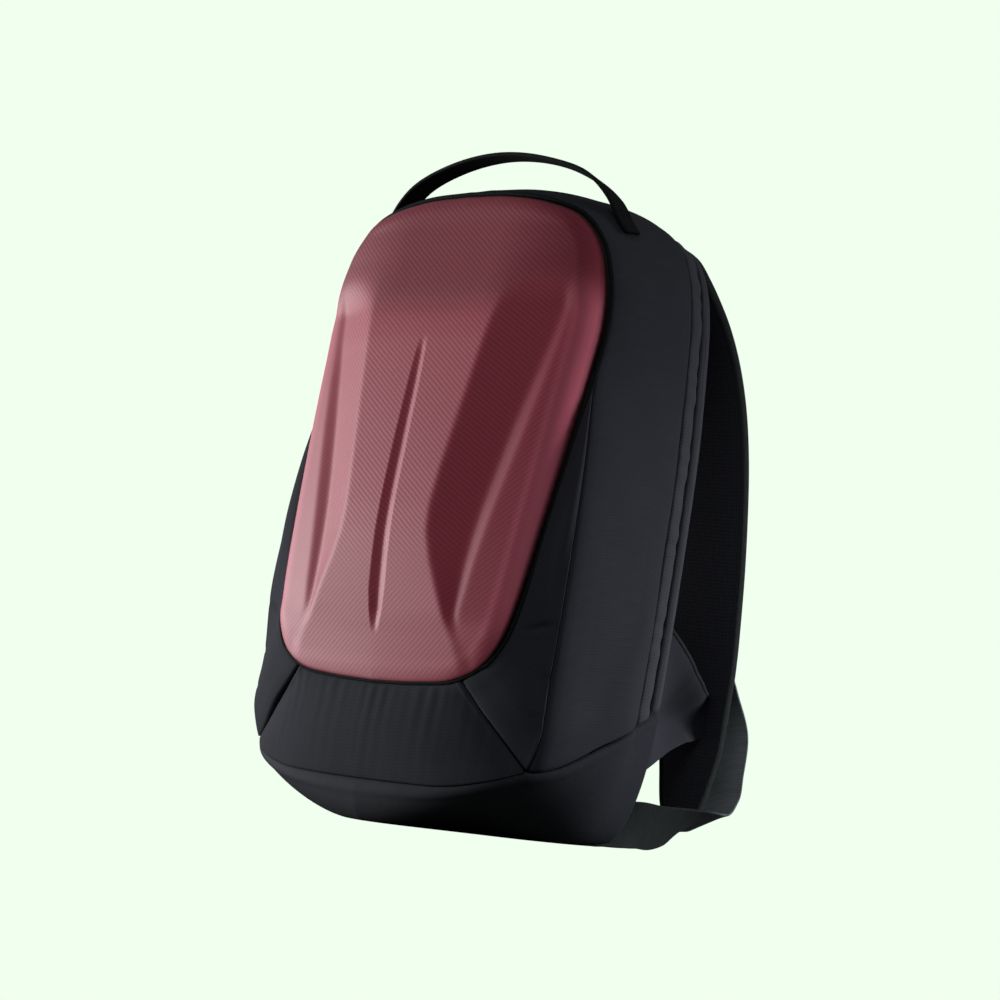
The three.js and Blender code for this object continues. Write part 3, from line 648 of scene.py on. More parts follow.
def shell_relief():
    """Depth of the moulded face on a lattice of whole millimetres, and where it belongs to the cap."""
    from_centre = np.abs(RELIEF_HALVES)
    edge_height = np.clip(RELIEF_HEIGHTS, SHELL_LOW, SHELL_HIGH)
    edge_half = shell_edge.at(shell_edge.share_at_height(edge_height))[:, 0]
    rows = []
    for height, edge in zip(RELIEF_HEIGHTS, edge_half):
        line = {name: column(SHELL_LINES, "height", name, height) for name in SHELL_LINES}
        places = [0, line["ridge"], line["valley"], line["lip"], max(edge, line["lip"] + 1)]
        depths = [line[name] for name in ("middle_d", "ridge_d", "valley_d", "lip_d", "rim_d")]
        faceted = np.interp(from_centre, places, depths)
        from_middle = np.minimum(from_centre / line["ridge"], 1)
        curved = line["middle_d"] + (line["ridge_d"] - line["middle_d"]) * from_middle ** PLATEAU_POWER
        faceted = np.where(from_middle < 1, curved, faceted)
        middle, rim = (column(SHELL_CAP, "height", name, height) for name in ("middle_d", "rim_d"))
        fall = np.clip((from_centre - CAP_FLAT) / (edge - CAP_FLAT), 0, CAP_BEYOND)
        cap = middle + (rim - middle) * fall ** CAP_POWER
        soft_top = (faceted + cap + np.hypot(faceted - cap, CAP_SOFT)) / 2
        rows.append((soft_top, cap > faceted))
    face, capped = np.moveaxis(np.array(rows, float), 1, 0)
    return blurred(face, *FACE_BLUR), blurred(capped, *CAP_BLUR)


def read_lattice(field, half, height):
    """Value of a lattice between its whole millimetres."""
    row = np.clip(height - RELIEF_HEIGHTS[0], 0, len(RELIEF_HEIGHTS) - 1.001)
    col = np.clip(half - RELIEF_HALVES[0], 0, len(RELIEF_HALVES) - 1.001)
    j, k = row.astype(int), col.astype(int)
    down, over = row - j, col - k
    low = field[j, k] * (1 - over) + field[j, k + 1] * over
    high = field[j + 1, k] * (1 - over) + field[j + 1, k + 1] * over
    return low * (1 - down) + high * down


face_depth, on_cap = shell_relief()
print("relief in mm:", round(np.ptp(face_depth), 1), "cap's share of the lattice:", round(on_cap.mean(), 2))

# %% Moulded shell
SHELL_WALL = 3
RIM_ROUND = 11
GROOVE_SOFT = 1.0
MIDDLE_FINE = 0.55  # the columns of the mesh lie closer near the middle groove
EDGE_POINTS = 1200


def edge_distance(half, height):
    """Distance in the front view from the shell's edge, and the depth of the edge there."""
    best = np.full(half.shape, np.inf)
    depth = np.zeros(half.shape)
    for x, y, z in shell_edge.at(np.linspace(0, 1, EDGE_POINTS)):
        away = np.hypot(np.abs(half) - x, height - z)
        depth = np.where(away < best, y, depth)
        best = np.minimum(best, away)
    return best, depth


def spanned(edge, low_corner, high_corner, across, up):
    """Fills half an outline between the middle line and its bottom, side and top."""
    low, high = edge.share_at_height(low_corner), edge.share_at_height(high_corner)
    bottom, top = edge.at(low * across), edge.at(1 - (1 - high) * across)
    side = edge.at(low + (high - low) * up)
    middle = blend(edge.at(0 * up), edge.at(1 + 0 * up), up)
    corners = blend(edge.at(low + 0 * up), edge.at(high + 0 * up), up)
    return blend(bottom, top, up) + blend(middle, side, across) - blend(middle, corners, across)


def shell_surface(along, up):
    """Across the shell from its right edge to its left edge, and up from its bottom edge."""
    from_middle = np.abs(1 - 2 * along)
    across = from_middle * (MIDDLE_FINE + (1 - MIDDLE_FINE) * from_middle)
    points = spanned(shell_edge, SHELL_LOW, SHELL_HIGH, across, up)
    half, height = points[..., 0], points[..., 2]
    groove, reach = (column(SHELL_LINES, "height", name, height) for name in ("groove_d", "groove"))
    from_groove = np.sqrt(half ** 2 + GROOVE_SOFT ** 2) - GROOVE_SOFT
    face = read_lattice(face_depth, half, height) + groove * np.clip(1 - from_groove / reach, 0, 1)
    away, edge = edge_distance(half, height)
    roll = np.sqrt(1 - (1 - np.clip(away / RIM_ROUND, 0, 1)) ** 2)
    on_edge = (from_middle == 1) | (up == 0) | (up == 1)
    points[..., 1] = np.where(on_edge, points[..., 1], edge + (face - edge) * roll)
    points[..., 0] *= np.where(along <= 0.5, 1, -1)
    return points


shell = panel("moulded_shell", shell_surface, 200, 224)
places = np.array([vertex.co for vertex in shell.data.vertices]) / MM
half, height = places[:, 0], places[:, 2] + FLOOR
measures = {"from_rim": edge_distance(half, height)[0] * MM, "on_cap": read_lattice(on_cap, half, height)}
for name, values in measures.items():
    shell.data.attributes.new(name, "FLOAT", "POINT").data.foreach_set("value", values)
thicken(shell, SHELL_WALL)
print("shell faces:", len(shell.data.polygons), "depth in mm:", round(np.ptp(places[:, 1])))

# %% [markdown]
# A thin welt lies between the shell and the cloth: a cord in a strip of cloth, sewn in with the edge.
# Its tape is near-black, which is partly painted shade: it stands for the shade in the gap round the shell,
# and shows as a thin black line there. A tube is a grid too, whose second share goes
# round the line instead of across it, and whose two long edges are then merged.

# %% Welt round the shell
WELT = 1.5
WELT_OUT, WELT_BACK = 1.9, 0.8  # how far it lies outside the shell's edge, and behind it


def square_to(direction, wanted):
    """The wanted direction, turned square to the run of the band."""
    return unit(wanted - direction * (wanted * direction).sum(-1, keepdims=True))


def tube_surface(line, wide, thick, facing=outward):
    """A tube round a line. wide is its radius in the facing direction and thick across that."""
    def surface(along, around):
        centre = line(along)
        direction = unit(line(np.minimum(along + 1e-3, 1)) - line(np.maximum(along - 1e-3, 0)))
        out = square_to(direction, facing(centre))
        angle = (2 * np.pi * around)[..., None]
        return centre + out * np.cos(angle) * wide + np.cross(direction, out) * np.sin(angle) * thick
    return surface


def welt_line(along):
    points = shell_edge.at(1 - np.abs(2 * along - 1))
    points = points + sideways(points) * WELT_OUT + np.array([0, WELT_BACK, 0])
    points[..., 0] *= np.where(along <= 0.5, 1, -1)
    return points


panel("shell_welt", tube_surface(welt_line, WELT, WELT), 320, 10, closed=True)
print("welt in mm:", round(2 * shell_edge.length))

# %% [markdown]
# Webbing, wings and the grab handle are flat bands that follow a path.
# A path is a seam too, with a roll at each point where the band twists. Webbing is woven to its width and
# doesn't swell, so it is a grid across the path with a wall.

# %% Paths of the bands
WEB_PATH = table(
    "half height depth roll",
    (90, 134, 170, 0), (94.5, 113, 181, 0), (98.5, 84, 197, 0), (99, 54, 199, 4), (98, 36, 200, 14),
    (98.5, 21, 191, 26), (101, 19, 168, 32), (104, 14.5, 140, 60), (106, 12.8, 113, 78),
    (105, 13.7, 97, 90), (102, 12.7, 83, 110), (98, 11.3, 71, 122), (95, 10.6, 63, 128), (92, 9.8, 57, 131),
)
WING = table(
    "half depth low high",
    (123, 66.5, 51, 149), (124, 88, 59, 135), (119, 112, 66, 122), (109, 140, 74, 112),
    (99, 161, 77, 107),
)
WING_HOLLOW, WING_OPEN, WING_ROUND = 24, 0.2, 1.5  # depth of its hollow, how open that is below, its power
WING_WALL, WING_EDGE = 2, 0.6
WING_GRID = 60, 40
HEM_WIDE, HEM_THICK = 2.0, 1.7
HANDLE_ARCH = table(
    "half height depth",
    (95.5, 428.5, -44), (76.5, 444.2, -49), (41, 457, -52), (0, 462, -53),
)
HANDLE_FEET = table("along across", (0.738, 0.275), (0.758, 0.27))  # shares of the side's cloth
HANDLE_WIDTH, HANDLE_WALL, HANDLE_EDGE, HANDLE_CLEAR = 18, 2.6, 0.9, 1.6
HANDLE_TWIST = dict(most=math.radians(9), at=0.2, wide=0.08)  # on the right leg, as it happens to lie
WEB_WIDTH, WEB_WALL, WEB_EDGE = 32, 1.6, 0.5
print("widths in mm: webbing", WEB_WIDTH, "handle", HANDLE_WIDTH)


# %% Surfaces of the bands
def band(rows, width):
    """A flat band along a path whose table gives the roll about its run."""
    path = Seam(rows)

    def surface(along, across):
        angle = np.radians(np.interp(along, path.knots, rows["roll"]))
        wanted = np.stack([np.cos(angle), 0 * angle, np.sin(angle)], -1)
        wide = square_to(path.direction(along), wanted)
        return path.at(along) + wide * ((across - 0.5) * width)[..., None]
    return surface


wing_middle = Seam({**WING, "height": (WING["low"] + WING["high"]) / 2})


def wing_surface(along, up):
    """The wing, hollow between its hem and its lower edge."""
    points = wing_middle.at(along)
    low, high = (np.interp(along, wing_middle.knots, WING[name]) for name in ("low", "high"))
    points[..., 2] = low + (high - low) * up
    rise = np.pi * (WING_OPEN + (1 - WING_OPEN) * up)
    points[..., 0] -= WING_HOLLOW * np.sin(np.pi * along) * np.maximum(np.sin(rise), 0) ** WING_ROUND
    return points


def handle_path():
    feet = side_surface(HANDLE_FEET["along"], HANDLE_FEET["across"])
    feet = feet + sideways(feet) * (HANDLE_CLEAR + HANDLE_WALL / 2)
    arch = np.column_stack([HANDLE_ARCH[name] for name in ("half", "depth", "height")])
    right = np.vstack([feet, arch])
    whole = np.vstack([right, right[-2::-1] * np.array([-1, 1, 1])])
    return Seam(dict(zip(("half", "depth", "height"), whole.T)))


handle = handle_path()


def handle_surface(along, across):
    direction = handle.direction(along)
    wide = square_to(direction, np.array([0.0, 1, 0]))
    away = (along - HANDLE_TWIST["at"]) / HANDLE_TWIST["wide"]
    twist = HANDLE_TWIST["most"] * np.exp(-away ** 2)[..., None]
    wide = np.cos(twist) * wide - np.sin(twist) * np.cross(wide, direction)
    return handle.at(along) + wide * ((across - 0.5) * HANDLE_WIDTH)[..., None]


# %% Webbing, wings and handle
def thick_band(name, surface, along, across, wall, radius):
    """A band whose wall grows to both sides of its surface, with soft edges."""
    made = thicken(panel(name, surface, along, across), wall, 0)
    bevel = made.modifiers.new("soft_edge", "BEVEL")
    bevel.width = radius * MM
    bevel.segments = 3
    bevel.limit_method = "ANGLE"


web_surface = band(WEB_PATH, WEB_WIDTH)
thick_band("handle_band", handle_surface, 160, 12, HANDLE_WALL, HANDLE_EDGE)
for side, turn in SIDES:
    thick_band(f"webbing_{side}", turn(web_surface), 200, 14, WEB_WALL, WEB_EDGE)
    thick_band(f"wing_cloth_{side}", turn(wing_surface), *WING_GRID, WING_WALL, WING_EDGE)
    hem = tube_surface(lambda along: wing_surface(along, np.ones_like(along)), HEM_WIDE, HEM_THICK)
    panel(f"wing_hem_{side}", turn(hem), WING_GRID[0], 10, closed=True)
print("webbing in mm:", round(Seam(WEB_PATH).length), "handle in mm:", round(handle.length))

# %% [markdown]
# The shoulder straps and the back are pads: foam between two layers of cloth, sewn at the edge.
# They are the soft pieces, so they are blown up by a cloth simulation. A copy of the solid could be meshed
# evenly for that, but its thin ends would fray. So each starts as a sheet on its own outline, with two
# faces a few millimetres apart. Its sewn edge is pinned, and the faces swell until a cap that grows from
# the edge inwards. The top of a strap goes into the seam of the back.
# The left strap mirrors the right one, so one simulation does for both.

# %% Outlines of the pads
STRAP_PATH = table(
    "half height depth roll width",
    (40, 422.5, 64, -13, 60), (41.5, 425, 75.5, -14, 62), (44, 422.5, 84, -15, 62),
    (47, 413.5, 93.5, -12, 62), (53.5, 392.5, 107.5, -6, 62), (63.5, 362, 121.5, 0, 62),
    (72.5, 325, 133, 0, 62), (78.5, 280, 143, 0, 62), (83.5, 205, 154, 0, 62), (86.5, 130, 162, 0, 60),
    (90, 70, 164, 0, 50), (91.5, 42, 162.5, 0, 39), (92, 25, 161, 0, 34),
)
STRAP_END = 0.05  # share of the strap's length that its low end is rounded over
STRAP_END_WIDTH = 0.72
BACK_FACE = 63  # depth of the back's sheet at its seam
BACK_LOW = -2
BACK_INSET = 1.2
BACK_CORNER_LOW, BACK_CORNER_HIGH = 2, 405
BACK_CROWN, BACK_FLAT = 3, 6  # the back stands out by this much, evenly until near its edge
strap_path = Seam(STRAP_PATH)


def strap_surface(along, across):
    """The strap's sheet, narrower at its rounded low end."""
    near_end = np.clip((1 - along) / STRAP_END, 0, 1)
    narrow = STRAP_END_WIDTH + (1 - STRAP_END_WIDTH) * np.sqrt(1 - (1 - near_end) ** 2)
    roll = np.radians(np.interp(along, strap_path.knots, STRAP_PATH["roll"]))
    width = np.interp(along, strap_path.knots, STRAP_PATH["width"]) * narrow
    wide = square_to(strap_path.direction(along), np.stack([np.cos(roll), 0 * roll, np.sin(roll)], -1))
    return strap_path.at(along) + wide * ((across - 0.5) * width)[..., None]


def back_outline():
    """Half the back's edge: along the floor, up the base's back corner and round the rear arch."""
    wall = base_surface(np.zeros(10), np.linspace(FLOOR_FROM, 0, 10))[1:-1]
    arch = arch_at(BACK_EDGE)(np.linspace(0, 1, 30))
    up = np.vstack([wall, arch])[:, [0, 2]]
    up -= BACK_INSET * unit(up - np.array([0, MIDDLE_HEIGHT]))
    foot = FOOT["half"][0] - BACK_INSET
    flat = np.array([[0, BACK_LOW], [foot / 2, BACK_LOW], [foot, BACK_LOW]])
    half, height = np.vstack([flat, up[up[:, 1] > BACK_LOW]]).T
    return Seam(dict(half=half, height=height, depth=np.full(half.shape, BACK_FACE)))


back_edge = back_outline()


def back_surface(along, up):
    from_middle = np.abs(1 - 2 * along)
    points = spanned(back_edge, BACK_CORNER_LOW, BACK_CORNER_HIGH, from_middle, up)
    inside = (1 - from_middle ** BACK_FLAT) * (1 - np.abs(2 * up - 1) ** BACK_FLAT)
    points[..., 1] += BACK_CROWN * inside
    points[..., 0] *= np.where(along <= 0.5, 1, -1)
    return points


print("strap in mm:", round(strap_path.length), "half the back's edge in mm:", round(back_edge.length))

# %% Blowing a pad up
PRESSURE = 4
FRAMES = 20


def evaluated(made):
    """The mesh of an object with its modifiers applied."""
    graph = bpy.context.evaluated_depsgraph_get()
    return bpy.data.meshes.new_from_object(made.evaluated_get(graph))


def two_faced(made, thick):
    """Gives a sheet two faces, and returns the vertices of its sewn edge on both."""
    bm = bmesh.new()
    bm.from_mesh(made.data)
    edge = [vertex.index for vertex in bm.verts if vertex.is_boundary]
    bm.free()
    count = len(made.data.vertices)
    thicken(made, thick, 0)
    made.data = evaluated(made)
    made.modifiers.clear()
    return edge + [index + count for index in edge]


def swell(made, sewn_edge, cap, soft):
    """Blows a pad up, its sewn edge pinned, and stops every point at the cap."""
    edge = made.vertex_groups.new(name="sewn_edge")
    edge.add(sewn_edge, 1, "REPLACE")
    near = KDTree(len(sewn_edge))
    for index in sewn_edge:
        near.insert(made.data.vertices[index].co, index)
    near.balance()
    stuffing = made.modifiers.new("stuffing", "CLOTH")
    stuffing.settings.use_pressure = True
    stuffing.settings.uniform_pressure_force = PRESSURE
    stuffing.settings.effector_weights.gravity = 0
    stuffing.settings.vertex_group_mass = edge.name
    for step in range(1, FRAMES + 1):
        bpy.context.scene.frame_set(step)
    blown = evaluated(made)
    room = [cap * MM * (1 - math.exp(-near.find(v.co)[2] / (soft * MM))) for v in made.data.vertices]
    moved = 0
    for vertex, goal, most in zip(made.data.vertices, blown.vertices, room):
        move = goal.co - vertex.co
        if move.length > most:
            move.length = most
        vertex.co += move
        moved = max(moved, move.length)
    made.modifiers.clear()
    made.vertex_groups.clear()
    bpy.context.scene.frame_set(1)
    return moved


def mirror_copy(made, name):
    other = made.copy()
    other.data = made.data.copy()
    other.name = other.data.name = name
    other.data.transform(Matrix.Scale(-1, 4, (1, 0, 0)))
    other.data.flip_normals()
    bpy.context.scene.collection.objects.link(other)
    pieces[name] = other
    return other


# %% Pads by cloth simulation
PADS = {
    "strap_pad_right": dict(surface=strap_surface, along=150, across=18, thick=6.4, cap=2.3, soft=9),
    "back_pad": dict(surface=back_surface, along=72, across=110, thick=6, cap=3.4, soft=14),
}
for name, pad in PADS.items():
    made = panel(name, pad["surface"], pad["along"], pad["across"])
    sewn_edge = two_faced(made, pad["thick"])
    print(name, "swells by mm:", round(swell(made, sewn_edge, pad["cap"], pad["soft"]) / MM, 1))
    finer = made.modifiers.new("finer", "SUBSURF")
    finer.levels = finer.render_levels = 1
mirror_copy(pieces["strap_pad_right"], "strap_pad_left")

# %% [markdown]
# The edge of a strap pad is bound with a narrow folded tape, which shows as a thin grey line.
# It runs down one edge, round the low end and up the other.

# %% Binding of the straps
BINDING_IN = 0.02  # share of the strap's width that the middle of the tape lies inside its edge
BINDING_WIDE, BINDING_THICK = 2.2, 4.0
BINDING_END = 0.998  # share of the strap's length where the tape turns
down = np.concatenate([np.linspace(0, 0.94, 24), [0.955, 0.968, 0.98, 0.99, 0.996]])
low_end = np.linspace(0.8, 0.2, 5)
loop = np.vstack([
    strap_surface(down, np.full(down.shape, 1 - BINDING_IN)),
    strap_surface(np.full(low_end.shape, BINDING_END), low_end),
    strap_surface(down[::-1], np.full(down.shape, BINDING_IN)),
])
binding = Seam(dict(zip(("half", "depth", "height"), loop.T)))


def off_strap(points):
    """Away from the middle of the strap."""
    near = strap_path.at(np.linspace(0.02, 0.96, 200))
    flat = points.reshape(-1, 3)
    nearest = near[np.linalg.norm(flat[:, None] - near[None], axis=-1).argmin(1)]
    return unit(flat - nearest).reshape(points.shape)


for side, turn in SIDES:
    surface = tube_surface(binding.at, BINDING_WIDE, BINDING_THICK, off_strap)
    panel(f"strap_binding_{side}", turn(surface), 420, 10, closed=True)
print("binding in mm:", round(binding.length))

# %% [markdown]
# The zip is a coil zip: two rows of small teeth on a tape, sunk in the slit between flap and gusset.
# Hundreds of teeth are alike, so each is one plain block, set on the arch by a matrix.
# The slider and its pull hang at the left, where the photograph doesn't look.

# %% Zip chain
TOOTH = (1.3, 2.0, 1.5)
TOOTH_STEP, TOOTH_RISE, TOOTH_APART = 2.3, 0.6, 0.7
TAPE_SUNK, TAPE_WALL = 3.6, 0.9
ZIP_DEPTH = 53
TAPE_FRONT, TAPE_REAR = 49.5, 56.5
zip_line = arch_at(ZIP_DEPTH)
zip_run = Seam(dict(zip(("half", "depth", "height"), zip_line(np.linspace(0, 1, 60)).T)))


def block_matrix(place, run, out, size):
    """Places a unit cube: its x along the run, its z outward, in the row frame."""
    run, out = (Vector(v) for v in (unit(run), square_to(unit(run), out)))
    turn = Matrix((run, out.cross(run), out)).transposed().to_4x4()
    lean = Matrix(((1, 0, 0, 0), (0, 1, LEAN, 0), (0, 0, 1, -FLOOR), (0, 0, 0, 1)))
    return Matrix.Scale(MM, 4) @ lean @ Matrix.Translation(place) @ turn @ Matrix.Diagonal((*size, 1))


def blocks(name, matrices):
    """One piece made of many plain blocks."""
    bm = bmesh.new()
    for matrix in matrices:
        bmesh.ops.create_cube(bm, size=1, matrix=matrix)
    made = finish_object(name, bm)
    made.data.polygons.foreach_set("use_smooth", [False] * len(made.data.polygons))
    return made


def sunk_tape(along, across):
    points = band_surface(TAPE_FRONT, TAPE_REAR, 0)(along, across)
    return points - sideways(points) * TAPE_SUNK


cloth("zip_tape", sunk_tape, 300, 6, wall=TAPE_WALL)
matrices = []
for number in range(int(zip_run.length / TOOTH_STEP)):
    for row in (-1, 1):
        share = min((number + 0.25 * (row + 2)) * TOOTH_STEP / zip_run.length, 1)
        place, run = zip_run.at(share), zip_run.direction(share)
        out = sideways(place)
        place = place - out * (TAPE_SUNK - TOOTH_RISE) + np.array([0, TOOTH_APART * row, 0])
        for mirror in (np.array([1, 1, 1]), np.array([-1, 1, 1])):
            matrices.append(block_matrix(place * mirror, run * mirror, out * mirror, TOOTH))
blocks("zip_teeth", matrices)
print("zip teeth:", len(matrices))

# %% Slider and pull
SLIDER_SHARE, SLIDER_OUT = 0.6, 1.9
# Size, rounding and centre of the slider's body, its bridge, the link, the pull and the ribs on the pull.
SLIDER_BLOCKS = [
    ((12, 8.4, 1.6), 0.7, (32, 0, -0.6)),
    ((7, 2.2, 1.6), 0.6, (31, 0, 0.7)),
    ((5, 3.6, 1.2), 0.5, (25.4, 0, 0.1)),
    ((23, 5.8, 1.5), 0.6, (12, 0, 0)),
    *(((1.2, 4.4, 0.6), 0.25, (3.5 + 2.6 * rib, 0, 0.85)) for rib in range(4)),
]


def soft_block(bm, matrix, size, radius, centre):
    """A block with rounded edges, sized and rounded in millimetres before it is placed."""
    local = Matrix.Translation(centre) @ Matrix.Diagonal((*size, 1))
    made = bmesh.ops.create_cube(bm, size=1, matrix=local)
    edges = list({edge for vertex in made["verts"] for edge in vertex.link_edges})
    result = bmesh.ops.bevel(
        bm, geom=edges, offset=radius, segments=3, profile=0.5, affect="EDGES", material=-1)
    rounded = {v for face in result["faces"] for v in face.verts}
    kept = {v for v in made["verts"] if v.is_valid}
    bmesh.ops.transform(bm, matrix=matrix, verts=list(rounded | kept))


share = np.array([SLIDER_SHARE])
left = np.array([-1, 1, 1])
along_zip = unit(zip_line(share + 0.01) - zip_line(share))[0] * left
out = sideways(zip_line(share))[0] * left
place = zip_line(share)[0] * left + out * SLIDER_OUT
bm = bmesh.new()
for size, radius, centre in SLIDER_BLOCKS:
    soft_block(bm, block_matrix(place, along_zip, out, (1, 1, 1)), size, radius, centre)
pull = finish_object("zip_pull", bm)
print("slider and pull, faces:", len(pull.data.polygons))

# %% [markdown]
# Stitches show where a band is sewn on: at the feet of the handle and at the top of the webbing.
# Each is a short block of thread that lies on the band.

# %% A row of stitches
STITCH = (2.6, 0.6, 0.5)


def stitch_row(surface, start, end, lift, count):
    """Stitches along a straight line between two places on a band, given by their shares."""
    start, run = np.array(start), np.array(end) - np.array(start)

    def on_band(along, across):
        return surface(np.array([along]), np.array([across]))[0]

    found = []
    for number in range(count):
        share = start + run * (number + 0.5) / count
        here, there = on_band(*share), on_band(*(share + run * 0.2 / count))
        side = on_band(share[0], share[1] + 0.01)
        step = on_band(share[0] + 0.002, share[1])
        out = unit(np.cross(side - here, step - here))
        out = out * np.sign(out @ lift)
        found.append(block_matrix(here + out * np.linalg.norm(lift), there - here, out, STITCH))
    return found


# %% Stitches on the handle and the webbing
STITCH_CLEAR = 0.1
LONG_ROW, SHORT_ROW = 7, 4
HANDLE_BOX = dict(along=(0.008, 0.07), across=(0.14, 0.86))  # shares of the band, from its foot
WEB_BOX = dict(along=(0.01, 0.075), across=(0.1, 0.9))
WEB_ROWS = ((0, 1), (2, 3), (0, 2), (1, 3), (0, 3), (1, 2))  # a box with a cross, from corner to corner
HANDLE_LIFT = np.array([1.0, 0, 1.0]) * (HANDLE_WALL / 2 + STITCH_CLEAR) / math.sqrt(2)
found = []
for turn, mirror in ((lambda share: share, 1), (lambda share: 1 - share, -1)):
    lift = HANDLE_LIFT * np.array([mirror, 1, 1])
    foot, top = (turn(along) for along in HANDLE_BOX["along"])
    for across in HANDLE_BOX["across"]:
        found += stitch_row(handle_surface, (foot, across), (top, across), lift, LONG_ROW)
    for along in (foot, top):
        near, far = ((along, across) for across in HANDLE_BOX["across"])
        found += stitch_row(handle_surface, near, far, lift, SHORT_ROW)
blocks("handle_stitches", found)
lift = np.array([0, WEB_WALL / 2 + STITCH_CLEAR, 0])
corners = [(along, across) for along in WEB_BOX["along"] for across in WEB_BOX["across"]]
for side, turn in SIDES:
    found = []
    for start, end in WEB_ROWS:
        found += stitch_row(turn(web_surface), corners[start], corners[end], lift, LONG_ROW)
    blocks(f"webbing_stitches_{side}", found)
print("stitches on the handle:", len(pieces["handle_stitches"].data.polygons) // 6)

# %% [markdown]
# A plain studio: a pale floor that meets a backdrop of its own colour, so that no horizon shows.
# The backdrop is brighter to the camera than it is as a lamp, because the photograph was cut out and laid
# on a bright ground. The key lamp is large, low and far to the left, so that it rakes across the shell:
# facets that look left are bright, those that look right stay dark, and so does the cap above them.
# A weak lamp in front keeps the sides from going black, and a narrow one at the back right lights the low
# side and the webbing. Only the key shows in the sheen of the cloth.

# %% Colours and the node helper
GROUND = "#F1FFEF"


def linear(colour):
    """An sRGB hex value as linear red, green, blue and alpha."""
    parts = [int(colour[k:k + 2], 16) / 255 for k in (1, 3, 5)]
    return [p / 12.92 if p <= 0.04045 else ((p + 0.055) / 1.055) ** 2.4 for p in parts] + [1]


def node(tree, kind, sockets=None, **settings):
    """Adds a node, sets it, and sets or links its sockets. A node as a value stands for its first output."""
    made = tree.nodes.new("ShaderNode" + kind)
    for name, value in settings.items():
        setattr(made, name, value)
    for key, value in (sockets or {}).items():
        if isinstance(value, bpy.types.Node):
            value = value.outputs[0]
        if isinstance(value, bpy.types.NodeSocket):
            tree.links.new(value, made.inputs[key])
        else:
            made.inputs[key].default_value = value
    return made


# %% Backdrop and floor
AMBIENT = 0.10
FLOOR_RADIUS, FLOOR_DROP = 8, 0.0005  # in metres; it lies just below the pack's foot

def cleared_tree(owner):
    """The empty node tree of a material or a world."""
    owner.use_nodes = True
    owner.node_tree.nodes.clear()
    return owner.node_tree


def two_looks(tree, lit, seen, output):
    """Shows the camera one shader, and everything else the other."""
    by_camera = node(tree, "LightPath").outputs["Is Camera Ray"]
    node(tree, output, {"Surface": node(tree, "MixShader", {0: by_camera, 1: lit, 2: seen})})


world = bpy.data.worlds.new("backdrop")
bpy.context.scene.world = world
tree = cleared_tree(world)
two_looks(tree, node(tree, "Background", {"Color": linear("#FFFFFF"), "Strength": AMBIENT}),
          node(tree, "Background", {"Color": linear(GROUND), "Strength": 1.0}), "OutputWorld")

bm = bmesh.new()
bmesh.ops.create_circle(bm, cap_ends=True, segments=96, radius=FLOOR_RADIUS)
floor = finish_object("floor", bm)
del pieces["floor"]
floor.location.z = -FLOOR_DROP
floor.visible_shadow = False  # the low lamp reaches below the floor's height
paint = bpy.data.materials.new("pale_studio_floor")
tree = cleared_tree(paint)
two_looks(tree, node(tree, "BsdfDiffuse", {"Color": linear("#4A4D4A")}),
          node(tree, "Emission", {"Color": linear(GROUND), "Strength": 1.0}), "OutputMaterial")
floor.data.materials.append(paint)
print("floor's radius in m:", FLOOR_RADIUS)

# %% Lamps
LAMPS = {
    "key": dict(at=(-1.70, -0.78, 0.16), aim=(0, 0, 0.22), size=0.9, watts=52, spread=180, shines=True),
    "front_fill": dict(at=(0.85, -1.55, 1.25), aim=(0, 0, 0.22), size=1.1, watts=12, spread=180,
                       shines=False),
    "back_right": dict(at=(0.95, 0.80, 0.45), aim=(0.13, 0.03, 0.0), size=0.4, watts=1.9, spread=48,
                       shines=False),
}
for name, lamp in LAMPS.items():
    light = bpy.data.lights.new(name, "AREA")
    light.size = lamp["size"]
    light.energy = lamp["watts"]
    light.spread = math.radians(lamp["spread"])
    holder = bpy.data.objects.new(name, light)
    holder.visible_camera = False
    holder.visible_glossy = lamp["shines"]
    holder.location = lamp["at"]
    holder.rotation_mode = "QUATERNION"
    holder.rotation_quaternion = (Vector(lamp["aim"]) - holder.location).to_track_quat("-Z", "Y")
    bpy.context.scene.collection.objects.link(holder)
bpy.context.scene.view_settings.view_transform = "Standard"
print("lamps:", list(LAMPS))

# %% [markdown]
# The shell's twill is a fabric of slanting ribs, about two and a half millimetres from rib to rib.
# Its ribs lean one way on the plateau and the other way outside its valleys and near the bottom edge, where
# the mould turned the cloth. A sine along the slant makes each set of ribs, in height and in colour. A
# painted highlight makes the twill pale over the rolled rim, apart from the cap and the bottom edge, and the
# thin dark line at the rim itself is painted shade, where the twill goes down into the seam. The cap is
# painted darker, as painted shade.

# %% Twill of the shell
PLATEAU_RIBS = dict(pitch=2.76, slant=52.7)  # slant is the angle across the ribs, from level
BORDER_RIBS = dict(pitch=2.86, slant=-45.5)
BORDER_STRENGTH = 0.65
WAVER, WAVER_SIZE = 2.2, 22.2  # how far the ribs stray from a straight line, and over how many millimetres
TURN_LOW, TURN_HIGH = 150 * MM, 185 * MM  # heights between which the ribs turn
VALLEY_AT, VALLEY_SLOPE, VALLEY_SOFT = 38 * MM, 0.175, 12 * MM  # half width of the valleys, and its growth
# width of the painted shade: a dark line at the rim, where the twill goes down into the seam
RIM_SHADE = 1.8 * MM
RIM_HIGHLIGHT, HIGHLIGHT_FADE, HIGHLIGHT_SHARE = 4 * MM, 16 * MM, 0.75  # the painted highlight on the rim: its full width, its end and strength
HIGHLIGHT_LOW, HIGHLIGHT_HIGH = 100 * MM, 150 * MM  # heights between which the painted highlight sets in
RIB_FADE = 8 * MM  # the ribs are pressed flat towards the rim
CAP_SHADE = 0.62  # painted shade: the twill on the cap is painted darker, for the shade that falls on the cap
BLACK = linear("#000000")


